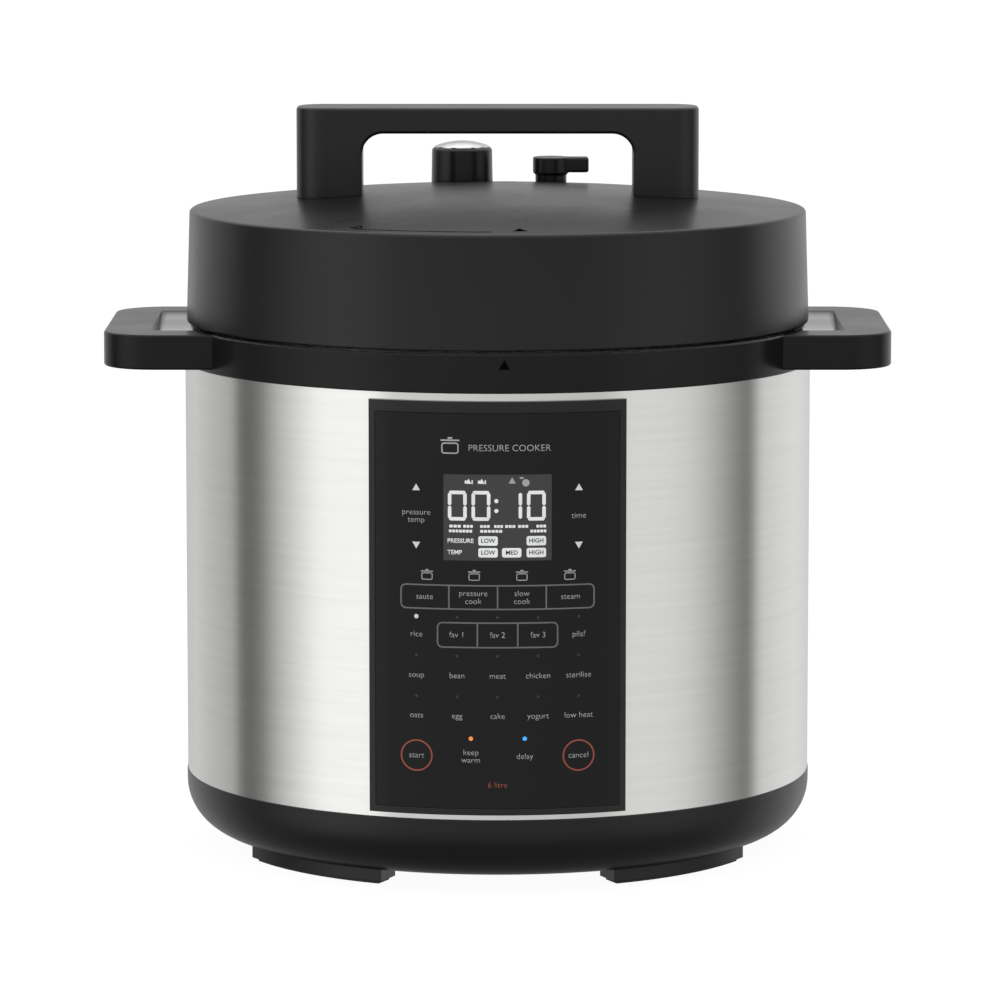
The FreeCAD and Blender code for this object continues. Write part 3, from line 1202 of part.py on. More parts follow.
def make_float():
    guide_top = steel_height(float_out - guide_radius) + 4
    guide_bottom = steel_height(float_out + guide_radius) - S.steel_lid_wall - 3
    bush = rod("float_bush", guide_radius, (*float_place, guide_bottom), guide_top - guide_bottom)
    shoulder_seat = steel_height(float_out - guide_radius - 2)
    shoulder = rod("float_shoulder", guide_radius + 2, (*float_place, shoulder_seat), 1.6)
    bore = rod("float_bore", S.float_radius + S.fit_gap, (*float_place, guide_bottom - 5), 40)
    node("float_guide", cut("float_guide", join("float_guide_body", bush, shoulder), bore))
    head_radius = guide_radius - S.fit_gap
    seal_top_height = guide_bottom - S.float_travel - S.contact_gap
    head_top = seal_top_height - S.float_seal
    pin_top = crown_height(float_out + S.float_radius) - S.contact_gap
    shank = rod("float_shank", S.float_radius, (*float_place, head_top), pin_top - head_top)
    head = rod("float_head", head_radius, (*float_place, head_top - 2), 2)
    node("float_pin", join("float_pin", shank, head))
    washer = rod("float_seal_form", head_radius, (*float_place, head_top), S.float_seal)
    washer_bore = rod("float_seal_bore", S.float_radius + S.contact_gap / 3, (*float_place, head_top - 5),
                      S.float_seal + 10)
    node("float_seal", cut("float_seal", washer, washer_bore))


# ---- making and writing ----------------------------------------------------------------------------------------

for make in (make_base, make_housing, make_collar, make_cup, make_outer_pot, make_inner_pot, make_brackets,
             make_heating, make_inlet, make_power_board, make_wires, make_panel, make_lid_cover, make_lid_handle,
             make_pressure_lid, make_seal, make_valves, make_float):
    make()
doc.recompute()

faults = ["%s: %s" % (piece.Label, piece.State) for piece in doc.Objects
          if "Invalid" in piece.State or "Error" in piece.State]
for name, piece in NODES:
    shape = piece.Shape
    if shape.isNull() or not shape.isValid() or not shape.Solids:
        faults.append("%s: no valid solid" % name)
if len({name for name, _ in NODES}) != len(NODES):
    faults.append("two pieces have the same name")
if faults:
    raise SystemExit("\n".join(faults))

os.makedirs("parts", exist_ok=True)
for name, piece in NODES:
    piece.Shape.exportStep("parts/%s.step" % name)
print("%d pieces written" % len(NODES))
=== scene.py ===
"""Looks of an electric pressure cooker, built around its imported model.

Metres, +Z up, control panel towards -Y.
"""
import json
import math

import bpy
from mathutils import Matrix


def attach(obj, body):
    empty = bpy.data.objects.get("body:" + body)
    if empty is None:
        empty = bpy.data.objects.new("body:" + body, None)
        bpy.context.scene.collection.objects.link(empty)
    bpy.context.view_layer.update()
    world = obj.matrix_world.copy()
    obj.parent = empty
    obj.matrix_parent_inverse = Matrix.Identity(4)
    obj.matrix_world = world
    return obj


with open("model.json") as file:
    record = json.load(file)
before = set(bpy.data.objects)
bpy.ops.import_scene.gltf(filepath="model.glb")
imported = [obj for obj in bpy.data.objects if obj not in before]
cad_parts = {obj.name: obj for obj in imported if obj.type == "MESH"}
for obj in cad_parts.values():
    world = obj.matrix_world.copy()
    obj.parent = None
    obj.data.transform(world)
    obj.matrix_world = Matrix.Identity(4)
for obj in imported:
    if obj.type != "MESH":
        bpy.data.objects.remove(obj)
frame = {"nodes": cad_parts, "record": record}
bpy.context.view_layer.update()
nodes = frame["nodes"]
MM = 0.001


# ---- materials: small tools ----------------------------------------------------------------------


def put(tree, kind, inputs=None, **settings):
    """Adds a node, makes its settings, and fills its inputs with values or with other nodes' outputs."""
    node = tree.nodes.new("ShaderNode" + kind)
    for name, value in settings.items():
        setattr(node, name, value)
    for key, value in (inputs or {}).items():
        if isinstance(value, bpy.types.NodeSocket):
            tree.links.new(value, node.inputs[key])
        else:
            node.inputs[key].default_value = value
    return node


def new_group(name, values, results):
    """A shader node group with number inputs (name, default) and results (name, socket kind)."""
    tree = bpy.data.node_groups.new(name, "ShaderNodeTree")
    for label, default in values:
        socket = tree.interface.new_socket(label, in_out="INPUT", socket_type="NodeSocketFloat")
        socket.default_value = default
    for label, kind in results:
        tree.interface.new_socket(label, in_out="OUTPUT", socket_type="NodeSocket" + kind)
    entry = tree.nodes.new("NodeGroupInput")
    return tree, entry.outputs, tree.nodes.new("NodeGroupOutput")


def noise(tree, vector, scale, detail=3.0, roughness=0.5):
    inputs = {"Vector": vector, "Scale": scale, "Detail": detail, "Roughness": roughness}
    return put(tree, "TexNoise", inputs).outputs["Fac"]


def spread(tree, value, low, high, to_low=0.0, to_high=1.0):
    """Stretches the part of a value between low and high to another range."""
    inputs = {"Value": value, "From Min": low, "From Max": high, "To Min": to_low, "To Max": to_high}
    return put(tree, "MapRange", inputs).outputs["Result"]


def maths(tree, operation, first, second=0.0):
    return put(tree, "Math", {0: first, 1: second}, operation=operation).outputs[0]


# Where a Mix node has its two sides and its result, for each kind of value.
MIX_PLACES = {"FLOAT": (2, 3, 0), "VECTOR": (4, 5, 1), "RGBA": (6, 7, 2)}


def mix(tree, factor, first, second, kind="FLOAT"):
    one, other, result = MIX_PLACES[kind]
    return put(tree, "Mix", {0: factor, one: first, other: second}, data_type=kind).outputs[result]


def colour_mix(tree, factor, first, second):
    """Mixes two colours. Each is red, green and blue, or another node's output."""
    sides = [side if isinstance(side, bpy.types.NodeSocket) else (*side, 1.0) for side in (first, second)]
    return mix(tree, factor, *sides, "RGBA")


def make_grain_group():
    """Spark-eroded skin of a moulding: fine pits, and wide soft changes of gloss where hands have been."""
    tree, values, result = new_group(
        "moulded_grain", [("Grain", 2600.0), ("Patches", 22.0)],
        [("Height", "Float"), ("Gloss", "Float"), ("Shade", "Float")])
    place = put(tree, "TexCoord").outputs["Object"]
    pits = put(tree, "TexVoronoi", {"Vector": place, "Scale": values["Grain"]}).outputs["Distance"]
    fine = noise(tree, place, values["Grain"], 2.0)
    wide = noise(tree, place, values["Patches"], 4.0, 0.6)
    tree.links.new(maths(tree, "ADD", pits, fine), result.inputs["Height"])
    tree.links.new(spread(tree, wide, 0.35, 0.7), result.inputs["Gloss"])
    tree.links.new(spread(tree, noise(tree, place, 9.0, 2.0), 0.3, 0.7), result.inputs["Shade"])
    return tree


def make_brushing_group():
    """Sheet metal brushed along one direction: the texture is stretched along it."""
    tree, values, result = new_group(
        "brushed_lines", [("Around", 0.0), ("Across X", 1.0), ("Across Y", 1.0), ("Across Z", 1.0)],
        [("Height", "Float"), ("Streak", "Float"), ("Wear", "Float")])
    place = put(tree, "TexCoord").outputs["Object"]
    parts = put(tree, "SeparateXYZ", {0: place}).outputs
    radius = maths(tree, "SQRT", maths(tree, "ADD", maths(tree, "MULTIPLY", parts["X"], parts["X"]),
                                       maths(tree, "MULTIPLY", parts["Y"], parts["Y"])))
    angle = maths(tree, "ARCTAN2", parts["Y"], parts["X"])
    wrapped = put(tree, "CombineXYZ", {"X": maths(tree, "MULTIPLY", angle, 0.004), "Y": radius,
                                       "Z": parts["Z"]}).outputs[0]
    flat = put(tree, "CombineXYZ", {axis: maths(tree, "MULTIPLY", parts[axis], values["Across " + axis])
                                    for axis in "XYZ"}).outputs[0]
    chosen = mix(tree, values["Around"], flat, wrapped, "VECTOR")
    lines = noise(tree, chosen, 2400.0, 4.0, 0.6)
    streak = noise(tree, chosen, 420.0, 3.0)
    tree.links.new(lines, result.inputs["Height"])
    tree.links.new(spread(tree, streak, 0.3, 0.7), result.inputs["Streak"])
    tree.links.new(spread(tree, noise(tree, place, 16.0, 4.0), 0.4, 0.75), result.inputs["Wear"])
    return tree


GRAIN = make_grain_group()
BRUSHING = make_brushing_group()


def start_material(name, **constants):
    """A material with its shader, whose plain values are set on the shader's own sockets."""
    material = bpy.data.materials.new(name)
    material.use_nodes = True
    tree = material.node_tree
    shader = tree.nodes["Principled BSDF"]
    for label, value in constants.items():
        shader.inputs[label.replace("_", " ")].default_value = value
    return material, tree, shader


def bump(tree, shader, height, strength, distance, edge=0.0):
    """Feeds a height to the shader's normal, over edges that are rounded by the given radius."""
    inputs = {"Height": height, "Strength": strength, "Distance": distance}
    if edge:
        inputs["Normal"] = put(tree, "Bevel", {"Radius": edge}, samples=4).outputs[0]
    tree.links.new(put(tree, "Bump", inputs).outputs[0], shader.inputs["Normal"])


def plastic(name, dark, light, gloss=(0.3, 0.42), grain=2600.0, depth=0.00002, strength=0.25, edge=0.0005,
            **constants):
    """Moulded plastic. gloss is the roughness where it is polished by hands, and elsewhere."""
    material, tree, shader = start_material(name, **constants)
    skin = put(tree, "Group", node_tree=GRAIN)
    skin.inputs["Grain"].default_value = grain
    tree.links.new(colour_mix(tree, skin.outputs["Shade"], dark, light), shader.inputs["Base Color"])
    tree.links.new(spread(tree, skin.outputs["Gloss"], 0.0, 1.0, *gloss), shader.inputs["Roughness"])
    bump(tree, shader, skin.outputs["Height"], strength, depth, edge)
    return material


def metal(name, dark, light, gloss=(0.2, 0.3), around=1.0, across=(1.0, 1.0, 1.0), strength=0.12,
          depth=0.00001, edge=0.0003, **constants):
    """Brushed or drawn metal, brushed round the Z axis or along the axis that across makes small."""
    material, tree, shader = start_material(name, Metallic=1.0, **constants)
    lines = put(tree, "Group", node_tree=BRUSHING)
    lines.inputs["Around"].default_value = around
    for axis, stretch in zip("XYZ", across):
        lines.inputs["Across " + axis].default_value = stretch
    tree.links.new(colour_mix(tree, lines.outputs["Streak"], dark, light), shader.inputs["Base Color"])
    tree.links.new(spread(tree, lines.outputs["Wear"], 0.0, 1.0, *gloss), shader.inputs["Roughness"])
    bump(tree, shader, lines.outputs["Height"], strength, depth, edge)
    return material


def printed(name, colour, glow):
    """Screen printing with an emitted glow. On the display's segments and on the lamps the glow is their own
    light; on the panel's plain printing it is a painted glow that only makes the print look brighter.
    """
    material, tree, shader = start_material(name, Roughness=0.45, Emission_Strength=glow)
    shader.inputs["Emission Color"].default_value = (*colour, 1.0)
    place = put(tree, "TexCoord").outputs["Object"]
    fade = spread(tree, noise(tree, place, 160.0, 3.0), 0.3, 0.7)
    worn = [part * 0.85 for part in colour]
    tree.links.new(colour_mix(tree, fade, worn, colour), shader.inputs["Base Color"])
    return material


def board_laminate():
    """Circuit board: green varnish with tinned pads on a grid and darker tracks between them."""
    material, tree, shader = start_material("board_laminate", IOR=1.5)
    place = put(tree, "TexCoord").outputs["Object"]
    cells = put(tree, "TexVoronoi", {"Vector": place, "Scale": 240.0, "Randomness": 0.35}).outputs["Distance"]
    tracks = put(tree, "TexWave", {"Vector": place, "Scale": 90.0, "Distortion": 9.0, "Detail": 1.0},
                 bands_direction="X").outputs["Fac"]
    pads = spread(tree, cells, 0.18, 0.24, 1.0, 0.0)
    green = colour_mix(tree, spread(tree, tracks, 0.45, 0.55), (0.008, 0.07, 0.022), (0.014, 0.12, 0.035))
    tree.links.new(colour_mix(tree, pads, green, (0.55, 0.55, 0.52)), shader.inputs["Base Color"])
    tree.links.new(spread(tree, pads, 0.0, 1.0, 0.35, 0.25), shader.inputs["Roughness"])
    bump(tree, shader, tracks, 0.2, 0.00005)
    return material


BLACK = (0.0055, 0.0055, 0.006)
SOFT_BLACK = (0.0075, 0.0075, 0.008)
SHEEN = 0.28  # how strongly the black mouldings mirror what is in front of them
COLLAR_SHEEN = 0.16  # the same for the collar, outside its scoops
FINISHES = {
    "lid_plastic": plastic("lid_plastic", BLACK, SOFT_BLACK, gloss=(0.26, 0.32), depth=0.00001,
                           Specular_IOR_Level=SHEEN),
    "handle_plastic": plastic("handle_plastic", BLACK, SOFT_BLACK, gloss=(0.26, 0.32), depth=0.00001,
                              Specular_IOR_Level=SHEEN),
    "collar_plastic": plastic("collar_plastic", BLACK, SOFT_BLACK, gloss=(0.22, 0.28), depth=0.00001,
                              Coat_IOR=1.8, Coat_Roughness=0.08),
    "base_plastic": plastic("base_plastic", BLACK, SOFT_BLACK, gloss=(0.3, 0.38), depth=0.000015,
                            Specular_IOR_Level=SHEEN),
    "cup_plastic": plastic("cup_plastic", (0.012, 0.012, 0.013), (0.018, 0.018, 0.02), gloss=(0.12, 0.2)),
    "knob_plastic": plastic("knob_plastic", BLACK, SOFT_BLACK, gloss=(0.25, 0.32), Specular_IOR_Level=SHEEN),
    "inlet_plastic": plastic("inlet_plastic", BLACK, (0.014, 0.014, 0.014), gloss=(0.4, 0.5)),
    "panel_plastic": plastic("panel_plastic", (0.008, 0.008, 0.0085), (0.011, 0.011, 0.012),
                             gloss=(0.18, 0.26), edge=0.0006, Specular_IOR_Level=SHEEN),
    "panel_glass": plastic("panel_glass", (0.0035, 0.0035, 0.0038), (0.0045, 0.0045, 0.005),
                           gloss=(0.08, 0.14), grain=60.0, depth=0.00001, strength=0.01, edge=0.0003,
                           Specular_IOR_Level=0.22),
    "foot_rubber": plastic("foot_rubber", (0.012, 0.012, 0.012), (0.022, 0.022, 0.022), gloss=(0.65, 0.8),
                           depth=0.00005, strength=0.5),
    "silicone": plastic("silicone", (0.50, 0.50, 0.47), (0.58, 0.57, 0.54), gloss=(0.38, 0.5), grain=900.0,
                        Subsurface_Weight=0.15, Subsurface_Scale=0.002),
    "display_plastic": plastic("display_plastic", (0.05, 0.05, 0.055), (0.06, 0.06, 0.065)),
    "relay_plastic": plastic("relay_plastic", (0.012, 0.04, 0.16), (0.02, 0.05, 0.2)),
    "terminal_plastic": plastic("terminal_plastic", (0.03, 0.16, 0.06), (0.04, 0.2, 0.08)),
    "fuse_ceramic": plastic("fuse_ceramic", (0.6, 0.58, 0.52), (0.7, 0.68, 0.62),
                            gloss=(0.3, 0.5), grain=1400.0),
    "wire_plastic": plastic("wire_plastic", (0.20, 0.012, 0.01), (0.26, 0.018, 0.014), gloss=(0.35, 0.45)),
    "housing_steel": metal("housing_steel", (0.63, 0.625, 0.61), (0.66, 0.655, 0.64), gloss=(0.13, 0.15),
                           strength=0.02, Anisotropic=0.5),
    "pot_steel": metal("pot_steel", (0.55, 0.55, 0.54), (0.68, 0.68, 0.67),
                       gloss=(0.18, 0.28), Anisotropic=0.4),
    "shell_aluminium": metal("shell_aluminium", (0.55, 0.55, 0.56), (0.66, 0.66, 0.67), gloss=(0.3, 0.42)),
    "plate_aluminium": metal("plate_aluminium", (0.50, 0.50, 0.51), (0.62, 0.62, 0.63), gloss=(0.3, 0.4)),
    "bracket_steel": metal("bracket_steel", (0.42, 0.42, 0.43), (0.55, 0.55, 0.55),
                           gloss=(0.35, 0.5), around=0.0),
    "screw_steel": metal("screw_steel", (0.48, 0.48, 0.49), (0.62, 0.62, 0.62),
                         gloss=(0.22, 0.35), around=0.0),
    "spring_steel": metal("spring_steel", (0.5, 0.5, 0.5), (0.62, 0.62, 0.62), gloss=(0.2, 0.3), around=0.0),
    "cap_metal": metal("cap_metal", (0.62, 0.62, 0.62), (0.72, 0.72, 0.72), gloss=(0.1, 0.16), around=0.0),
    "pin_brass": metal("pin_brass", (0.55, 0.42, 0.16), (0.68, 0.52, 0.22), gloss=(0.22, 0.32), around=0.0),
    "transformer_iron": metal("transformer_iron", (0.10, 0.08, 0.06), (0.16, 0.13, 0.10), gloss=(0.4, 0.55),
                              around=0.0, across=(0.02, 1.0, 1.0)),
    "board_laminate": board_laminate(),
}
# The glow given to each print below is painted light where it lies on the panel's plain printing (arrowheads,
# words, key outlines, orange rings and lettering). On the lit lamp dot, the display and the two lamps it is
# their own light.
BRIGHT_PRINT = printed("bright_print", (0.62, 0.63, 0.64), 0.12)
TEXT_PRINT = printed("text_print", (0.36, 0.37, 0.38), 0.05)
LINE_PRINT = printed("line_print", (0.13, 0.132, 0.14), 0.01)
FAINT_PRINT = printed("faint_print", (0.02, 0.021, 0.023), 0.0)
SEGMENT_LIGHT = printed("segment_light", (0.72, 0.73, 0.74), 0.2)
ORANGE_PRINT = printed("orange_print", (0.30, 0.055, 0.03), 0.05)
ORANGE_LIGHT = printed("orange_light", (0.75, 0.25, 0.05), 0.4)
BLUE_LIGHT = printed("blue_light", (0.05, 0.35, 0.9), 0.5)


# Edges of the scoops in the tops of the side handles, in metres. Each pair is where the polish begins and
# where it is full, going inwards into the scoop: the near end, the far end and the rim.
SCOOP_NEAR_END = (0.1300, 0.1302)
SCOOP_FAR_END = (0.1470, 0.1444)
SCOOP_RIM = (0.2257, 0.2240)
SCOOP_HALF_WIDTH = 0.0418


def polish_scoops(material, roughness, sheen):
    """Makes the scoops in the tops of the side handles smoother and shinier than the plastic round them."""
    tree = material.node_tree
    shader = tree.nodes["Principled BSDF"]
    place = put(tree, "SeparateXYZ", {0: put(tree, "TexCoord").outputs["Object"]}).outputs
    out = maths(tree, "ABSOLUTE", place["X"])
    behind = maths(tree, "ABSOLUTE", place["Y"])
    within = maths(tree, "MULTIPLY", spread(tree, out, *SCOOP_NEAR_END), spread(tree, out, *SCOOP_FAR_END))
    within = maths(tree, "MULTIPLY", within, maths(tree, "LESS_THAN", behind, SCOOP_HALF_WIDTH))
    within = maths(tree, "MULTIPLY", within, spread(tree, place["Z"], *SCOOP_RIM))
    before = shader.inputs["Roughness"].links[0].from_socket
    for label, plain, polished in (("Roughness", before, roughness),
                                   ("Specular IOR Level", COLLAR_SHEEN, sheen), ("Coat Weight", 0.0, 1.0)):
        tree.links.new(mix(tree, within, plain, polished), shader.inputs[label])


polish_scoops(FINISHES["collar_plastic"], roughness=0.1, sheen=1.0)
DISPLAY_FACE = plastic("display_face", (0.045, 0.045, 0.047), (0.053, 0.053, 0.055), gloss=(0.2, 0.26),
                       grain=60.0, strength=0.02, Specular_IOR_Level=0.2)
MARK_PRINT = plastic("mark_print", (0.0015, 0.0015, 0.0015), (0.002, 0.002, 0.002), gloss=(0.7, 0.8),
                     Specular_IOR_Level=0.0)

for part in frame["record"]["subparts"]:
    slots = nodes[part["node"]].material_slots
    slots[0].material = FINISHES[part["material_slot"]]


# ---- modelling tools -----------------------------------------------------------------------------


def clear_selection():
    if bpy.context.object and bpy.context.object.mode != "OBJECT":
        bpy.ops.object.mode_set(mode="OBJECT")
    bpy.ops.object.select_all(action="DESELECT")


def pick(*objects):
    clear_selection()
    for thing in objects:
        thing.select_set(True)
    bpy.context.view_layer.objects.active = objects[0]


def settle(thing, name=None):
    """Puts a piece's place, turn and size into its mesh."""
    pick(thing)
    bpy.ops.object.transform_apply(location=True, rotation=True, scale=True)
    if name:
        thing.name = name
    return thing


def joined(things, name):
    pick(*things)
    if len(things) > 1:
        bpy.ops.object.join()
    thing = bpy.context.object
    thing.name = name
    thing.data.name = name
    return thing


def apply_modifier(thing, kind, **settings):
    pick(thing)
    modifier = thing.modifiers.new(kind.lower(), kind)
    for name, value in settings.items():
        setattr(modifier, name, value)
    bpy.ops.object.modifier_apply(modifier=modifier.name)


# Flat artwork is drawn upright in the plane y = ART_PLANE, in front of the panel, and then laid on the glass.
ART_PLANE = -0.2
UPRIGHT = (math.radians(90), 0, 0)


def at(across, up):
    return (across * MM, ART_PLANE, up * MM)


def bar(across, up, width, height, corner=0.0, segments=3):
    """A filled rectangle, with its corners rounded or cut."""
    clear_selection()
    bpy.ops.mesh.primitive_plane_add(size=1, location=at(across, up), rotation=UPRIGHT)
    shape = bpy.context.object
    shape.scale = (width * MM, height * MM, 1)
    settle(shape)
    if corner:
        bpy.ops.object.mode_set(mode="EDIT")
        bpy.ops.mesh.select_all(action="SELECT")
        bpy.ops.mesh.bevel(affect="VERTICES", offset=corner * MM, segments=segments)
        bpy.ops.object.mode_set(mode="OBJECT")
    return shape


def hollow(shape, line):
    """Leaves only a line along the edge of a filled shape."""
    pick(shape)
    bpy.ops.object.mode_set(mode="EDIT")
    bpy.ops.mesh.select_all(action="SELECT")
    bpy.ops.mesh.inset(thickness=line * MM)
    bpy.ops.mesh.delete(type="FACE")
    bpy.ops.object.mode_set(mode="OBJECT")
    return shape


def disc(across, up, radius, points=24, turn=0.0):
    clear_selection()
    bpy.ops.mesh.primitive_circle_add(vertices=points, radius=radius * MM, fill_type="NGON",
                                      location=at(across, up), rotation=(math.radians(90), turn, 0))
    return settle(bpy.context.object)


def triangle(across, up, width, down=False):
    """A solid arrowhead that points up or down."""
    return disc(across, up, width / math.sqrt(3), 3, math.pi if down else 0.0)


def word(text, across, up, size, weight=0.0):
    """Lettering. weight thickens its strokes, in millimetres."""
    clear_selection()
    bpy.ops.object.text_add(location=at(across, up), rotation=UPRIGHT)
    letters = bpy.context.object
    letters.data.body = text
    letters.data.size = size * MM
    letters.data.align_x = "CENTER"
    letters.data.align_y = "CENTER"
    letters.data.resolution_u = 3
    letters.data.offset = weight * MM
    bpy.ops.object.convert(target="MESH")
    return settle(bpy.context.object)


def cut_every(thing, step, half_width):
    """Cuts a flat shape along upright lines, so that it can follow the panel's curve."""
    pick(thing)
    bpy.ops.object.mode_set(mode="EDIT")
    count = int(half_width / step)
    for index in range(-count, count + 1):
        bpy.ops.mesh.select_all(action="SELECT")
        bpy.ops.mesh.bisect(plane_co=(index * step * MM, 0, 0), plane_no=(1, 0, 0))
    bpy.ops.object.mode_set(mode="OBJECT")


def lay_on(thing, target, axis, gap, thickness):
    """Drops a flat shape on a CAD surface along an axis, and gives it the thickness of a print."""
    apply_modifier(thing, "SHRINKWRAP", target=nodes[target], wrap_method="PROJECT", offset=gap * MM,
                   use_project_x=axis == "X", use_project_y=axis == "Y", use_project_z=axis == "Z",
                   use_negative_direction=True, use_positive_direction=True)
    apply_modifier(thing, "SOLIDIFY", thickness=thickness * MM, offset=1.0, use_even_offset=False)


def finished(thing, finish, body):
    thing.data.materials.clear()
    thing.data.materials.append(finish)
    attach(thing, body)
    return thing


# Panel artwork is cut upright this often, as far as this to each side, in millimetres.
CUT_STEP = 1.5
CUT_REACH = 48


def panel_print(things, name, finish, gap=0.015, thickness=0.03):
    """Artwork on the panel glass, joined into one piece."""
    art = joined(things, name)
    cut_every(art, CUT_STEP, CUT_REACH)
    lay_on(art, "panel_glass", "Y", gap, thickness)
    return finished(art, finish, "body")


# ---- control panel: display and printing ---------------------------------------------------------

COLUMNS = (-33.4, -16.7, 0.0, 16.7, 33.4)
DISPLAY_MIDDLE = (0.0, 158.8)
DISPLAY_SIZE = (44.4, 35.6)
DIGIT_WIDTH, DIGIT_HEIGHT, DIGIT_LINE = 6.3, 10.9, 1.45
DIGIT_ROW = 163.7
DIGIT_PLACES = (-16.5, -6.8, 6.2, 15.9)
LIT = {"0": "abcdef", "1": "bc"}
LAMP_ROW, UNLIT_ROWS = 117.4, (101.3, 84.3)
MODE_ROW, FAVOURITE_ROW, BOTTOM_ROW = 125.7, 110.0, 59.4


def digit(character, across, up):
    """A seven-segment digit. a is the top segment, the rest follow clockwise, and the middle is unlit."""
    half_width, half_height = DIGIT_WIDTH / 2, DIGIT_HEIGHT / 2
    level = (DIGIT_WIDTH + 0.5, DIGIT_LINE)
    upright = (DIGIT_LINE, half_height - 0.25)
    places = {"a": (0, half_height, level), "b": (half_width, half_height / 2, upright),
              "c": (half_width, -half_height / 2, upright), "d": (0, -half_height, level),
              "e": (-half_width, -half_height / 2, upright), "f": (-half_width, half_height / 2, upright)}
    bars = []
    for letter in LIT[character]:
        aside, above, size = places[letter]
        bars.append(bar(across + aside, up + above, *size, corner=0.5, segments=1))
    return bars


def small_pot(across, up, grown=1.0):
    """Icon of a pot with its lid."""
    return [hollow(bar(across, up - 0.4 * grown, 4.6 * grown, 3.0 * grown, corner=0.7 * grown), 0.35 * grown),
            bar(across, up + 1.7 * grown, 5.0 * grown, 0.4 * grown),
            bar(across, up + 2.3 * grown, 1.2 * grown, 0.5 * grown)]


def loudspeaker(across, up):
    """Icon of a loudspeaker."""
    return [bar(across - 1.0, up, 0.9, 1.3, corner=0.2), triangle(across + 0.1, up, 2.4),
            bar(across + 1.6, up, 0.5, 1.6)]


# Lit keys of the display: name, across, up.
KEYS = (("LOW", -3.9, 149.2), ("HIGH", 15.9, 149.2), ("LOW", -3.9, 144.3), ("MED", 5.8, 144.3),
        ("HIGH", 15.9, 144.3))
# Rows of small dashes that stand for the display's finest legends: across, length, up.
LEGENDS = ((-17.4, 5.0, 155.2), (-12.1, 4.2, 155.2), (-5.2, 4.2, 155.2), (0.4, 3.9, 155.2), (5.2, 4.4, 155.2),
           (10.5, 4.4, 155.2), (17.9, 4.2, 155.2), (-15.2, 9.8, 153.2), (-2.6, 9.3, 153.2),
           (16.7, 6.8, 153.2))


def make_display():
    across, up = DISPLAY_MIDDLE
    window = bar(across, up, *DISPLAY_SIZE, corner=0.6)
    panel_print([window], "display_window", DISPLAY_FACE, gap=0.03, thickness=0.01)
    lit = []
    for character, place in zip("0010", DIGIT_PLACES):
        lit += digit(character, place, DIGIT_ROW)
    lit += [disc(-0.5, 161.6, 0.85), disc(-0.5, 165.7, 0.85)]
    lit += loudspeaker(-12.0, 173.5) + loudspeaker(-6.6, 173.5)
    for place, length, row in LEGENDS:
        count = max(2, round(length / 1.5))
        step = length / count
        lit += [bar(place - length / 2 + step * (index + 0.5), row, step * 0.82, 1.15, corner=0.2)
                for index in range(count)]
    lit += [word("PRESSURE", -15.2, 149.1, 2.5, 0.05), word("TEMP", -17.6, 144.3, 2.5, 0.05)]
    lit += [bar(place, row, 8.0, 3.9, corner=0.8) for _, place, row in KEYS]
    panel_print(lit, "display_segments", SEGMENT_LIGHT, gap=0.05, thickness=0.02)
    panel_print([word(text, place, row, 2.5, 0.04) for text, place, row in KEYS], "display_key_names",
                DISPLAY_FACE, gap=0.075, thickness=0.01)
    icons = [triangle(6.0, 173.8, 3.0), disc(11.6, 173.2, 1.5), bar(9.9, 175.2, 1.6, 0.7)]
    panel_print(icons, "display_icons", TEXT_PRINT, gap=0.05, thickness=0.02)


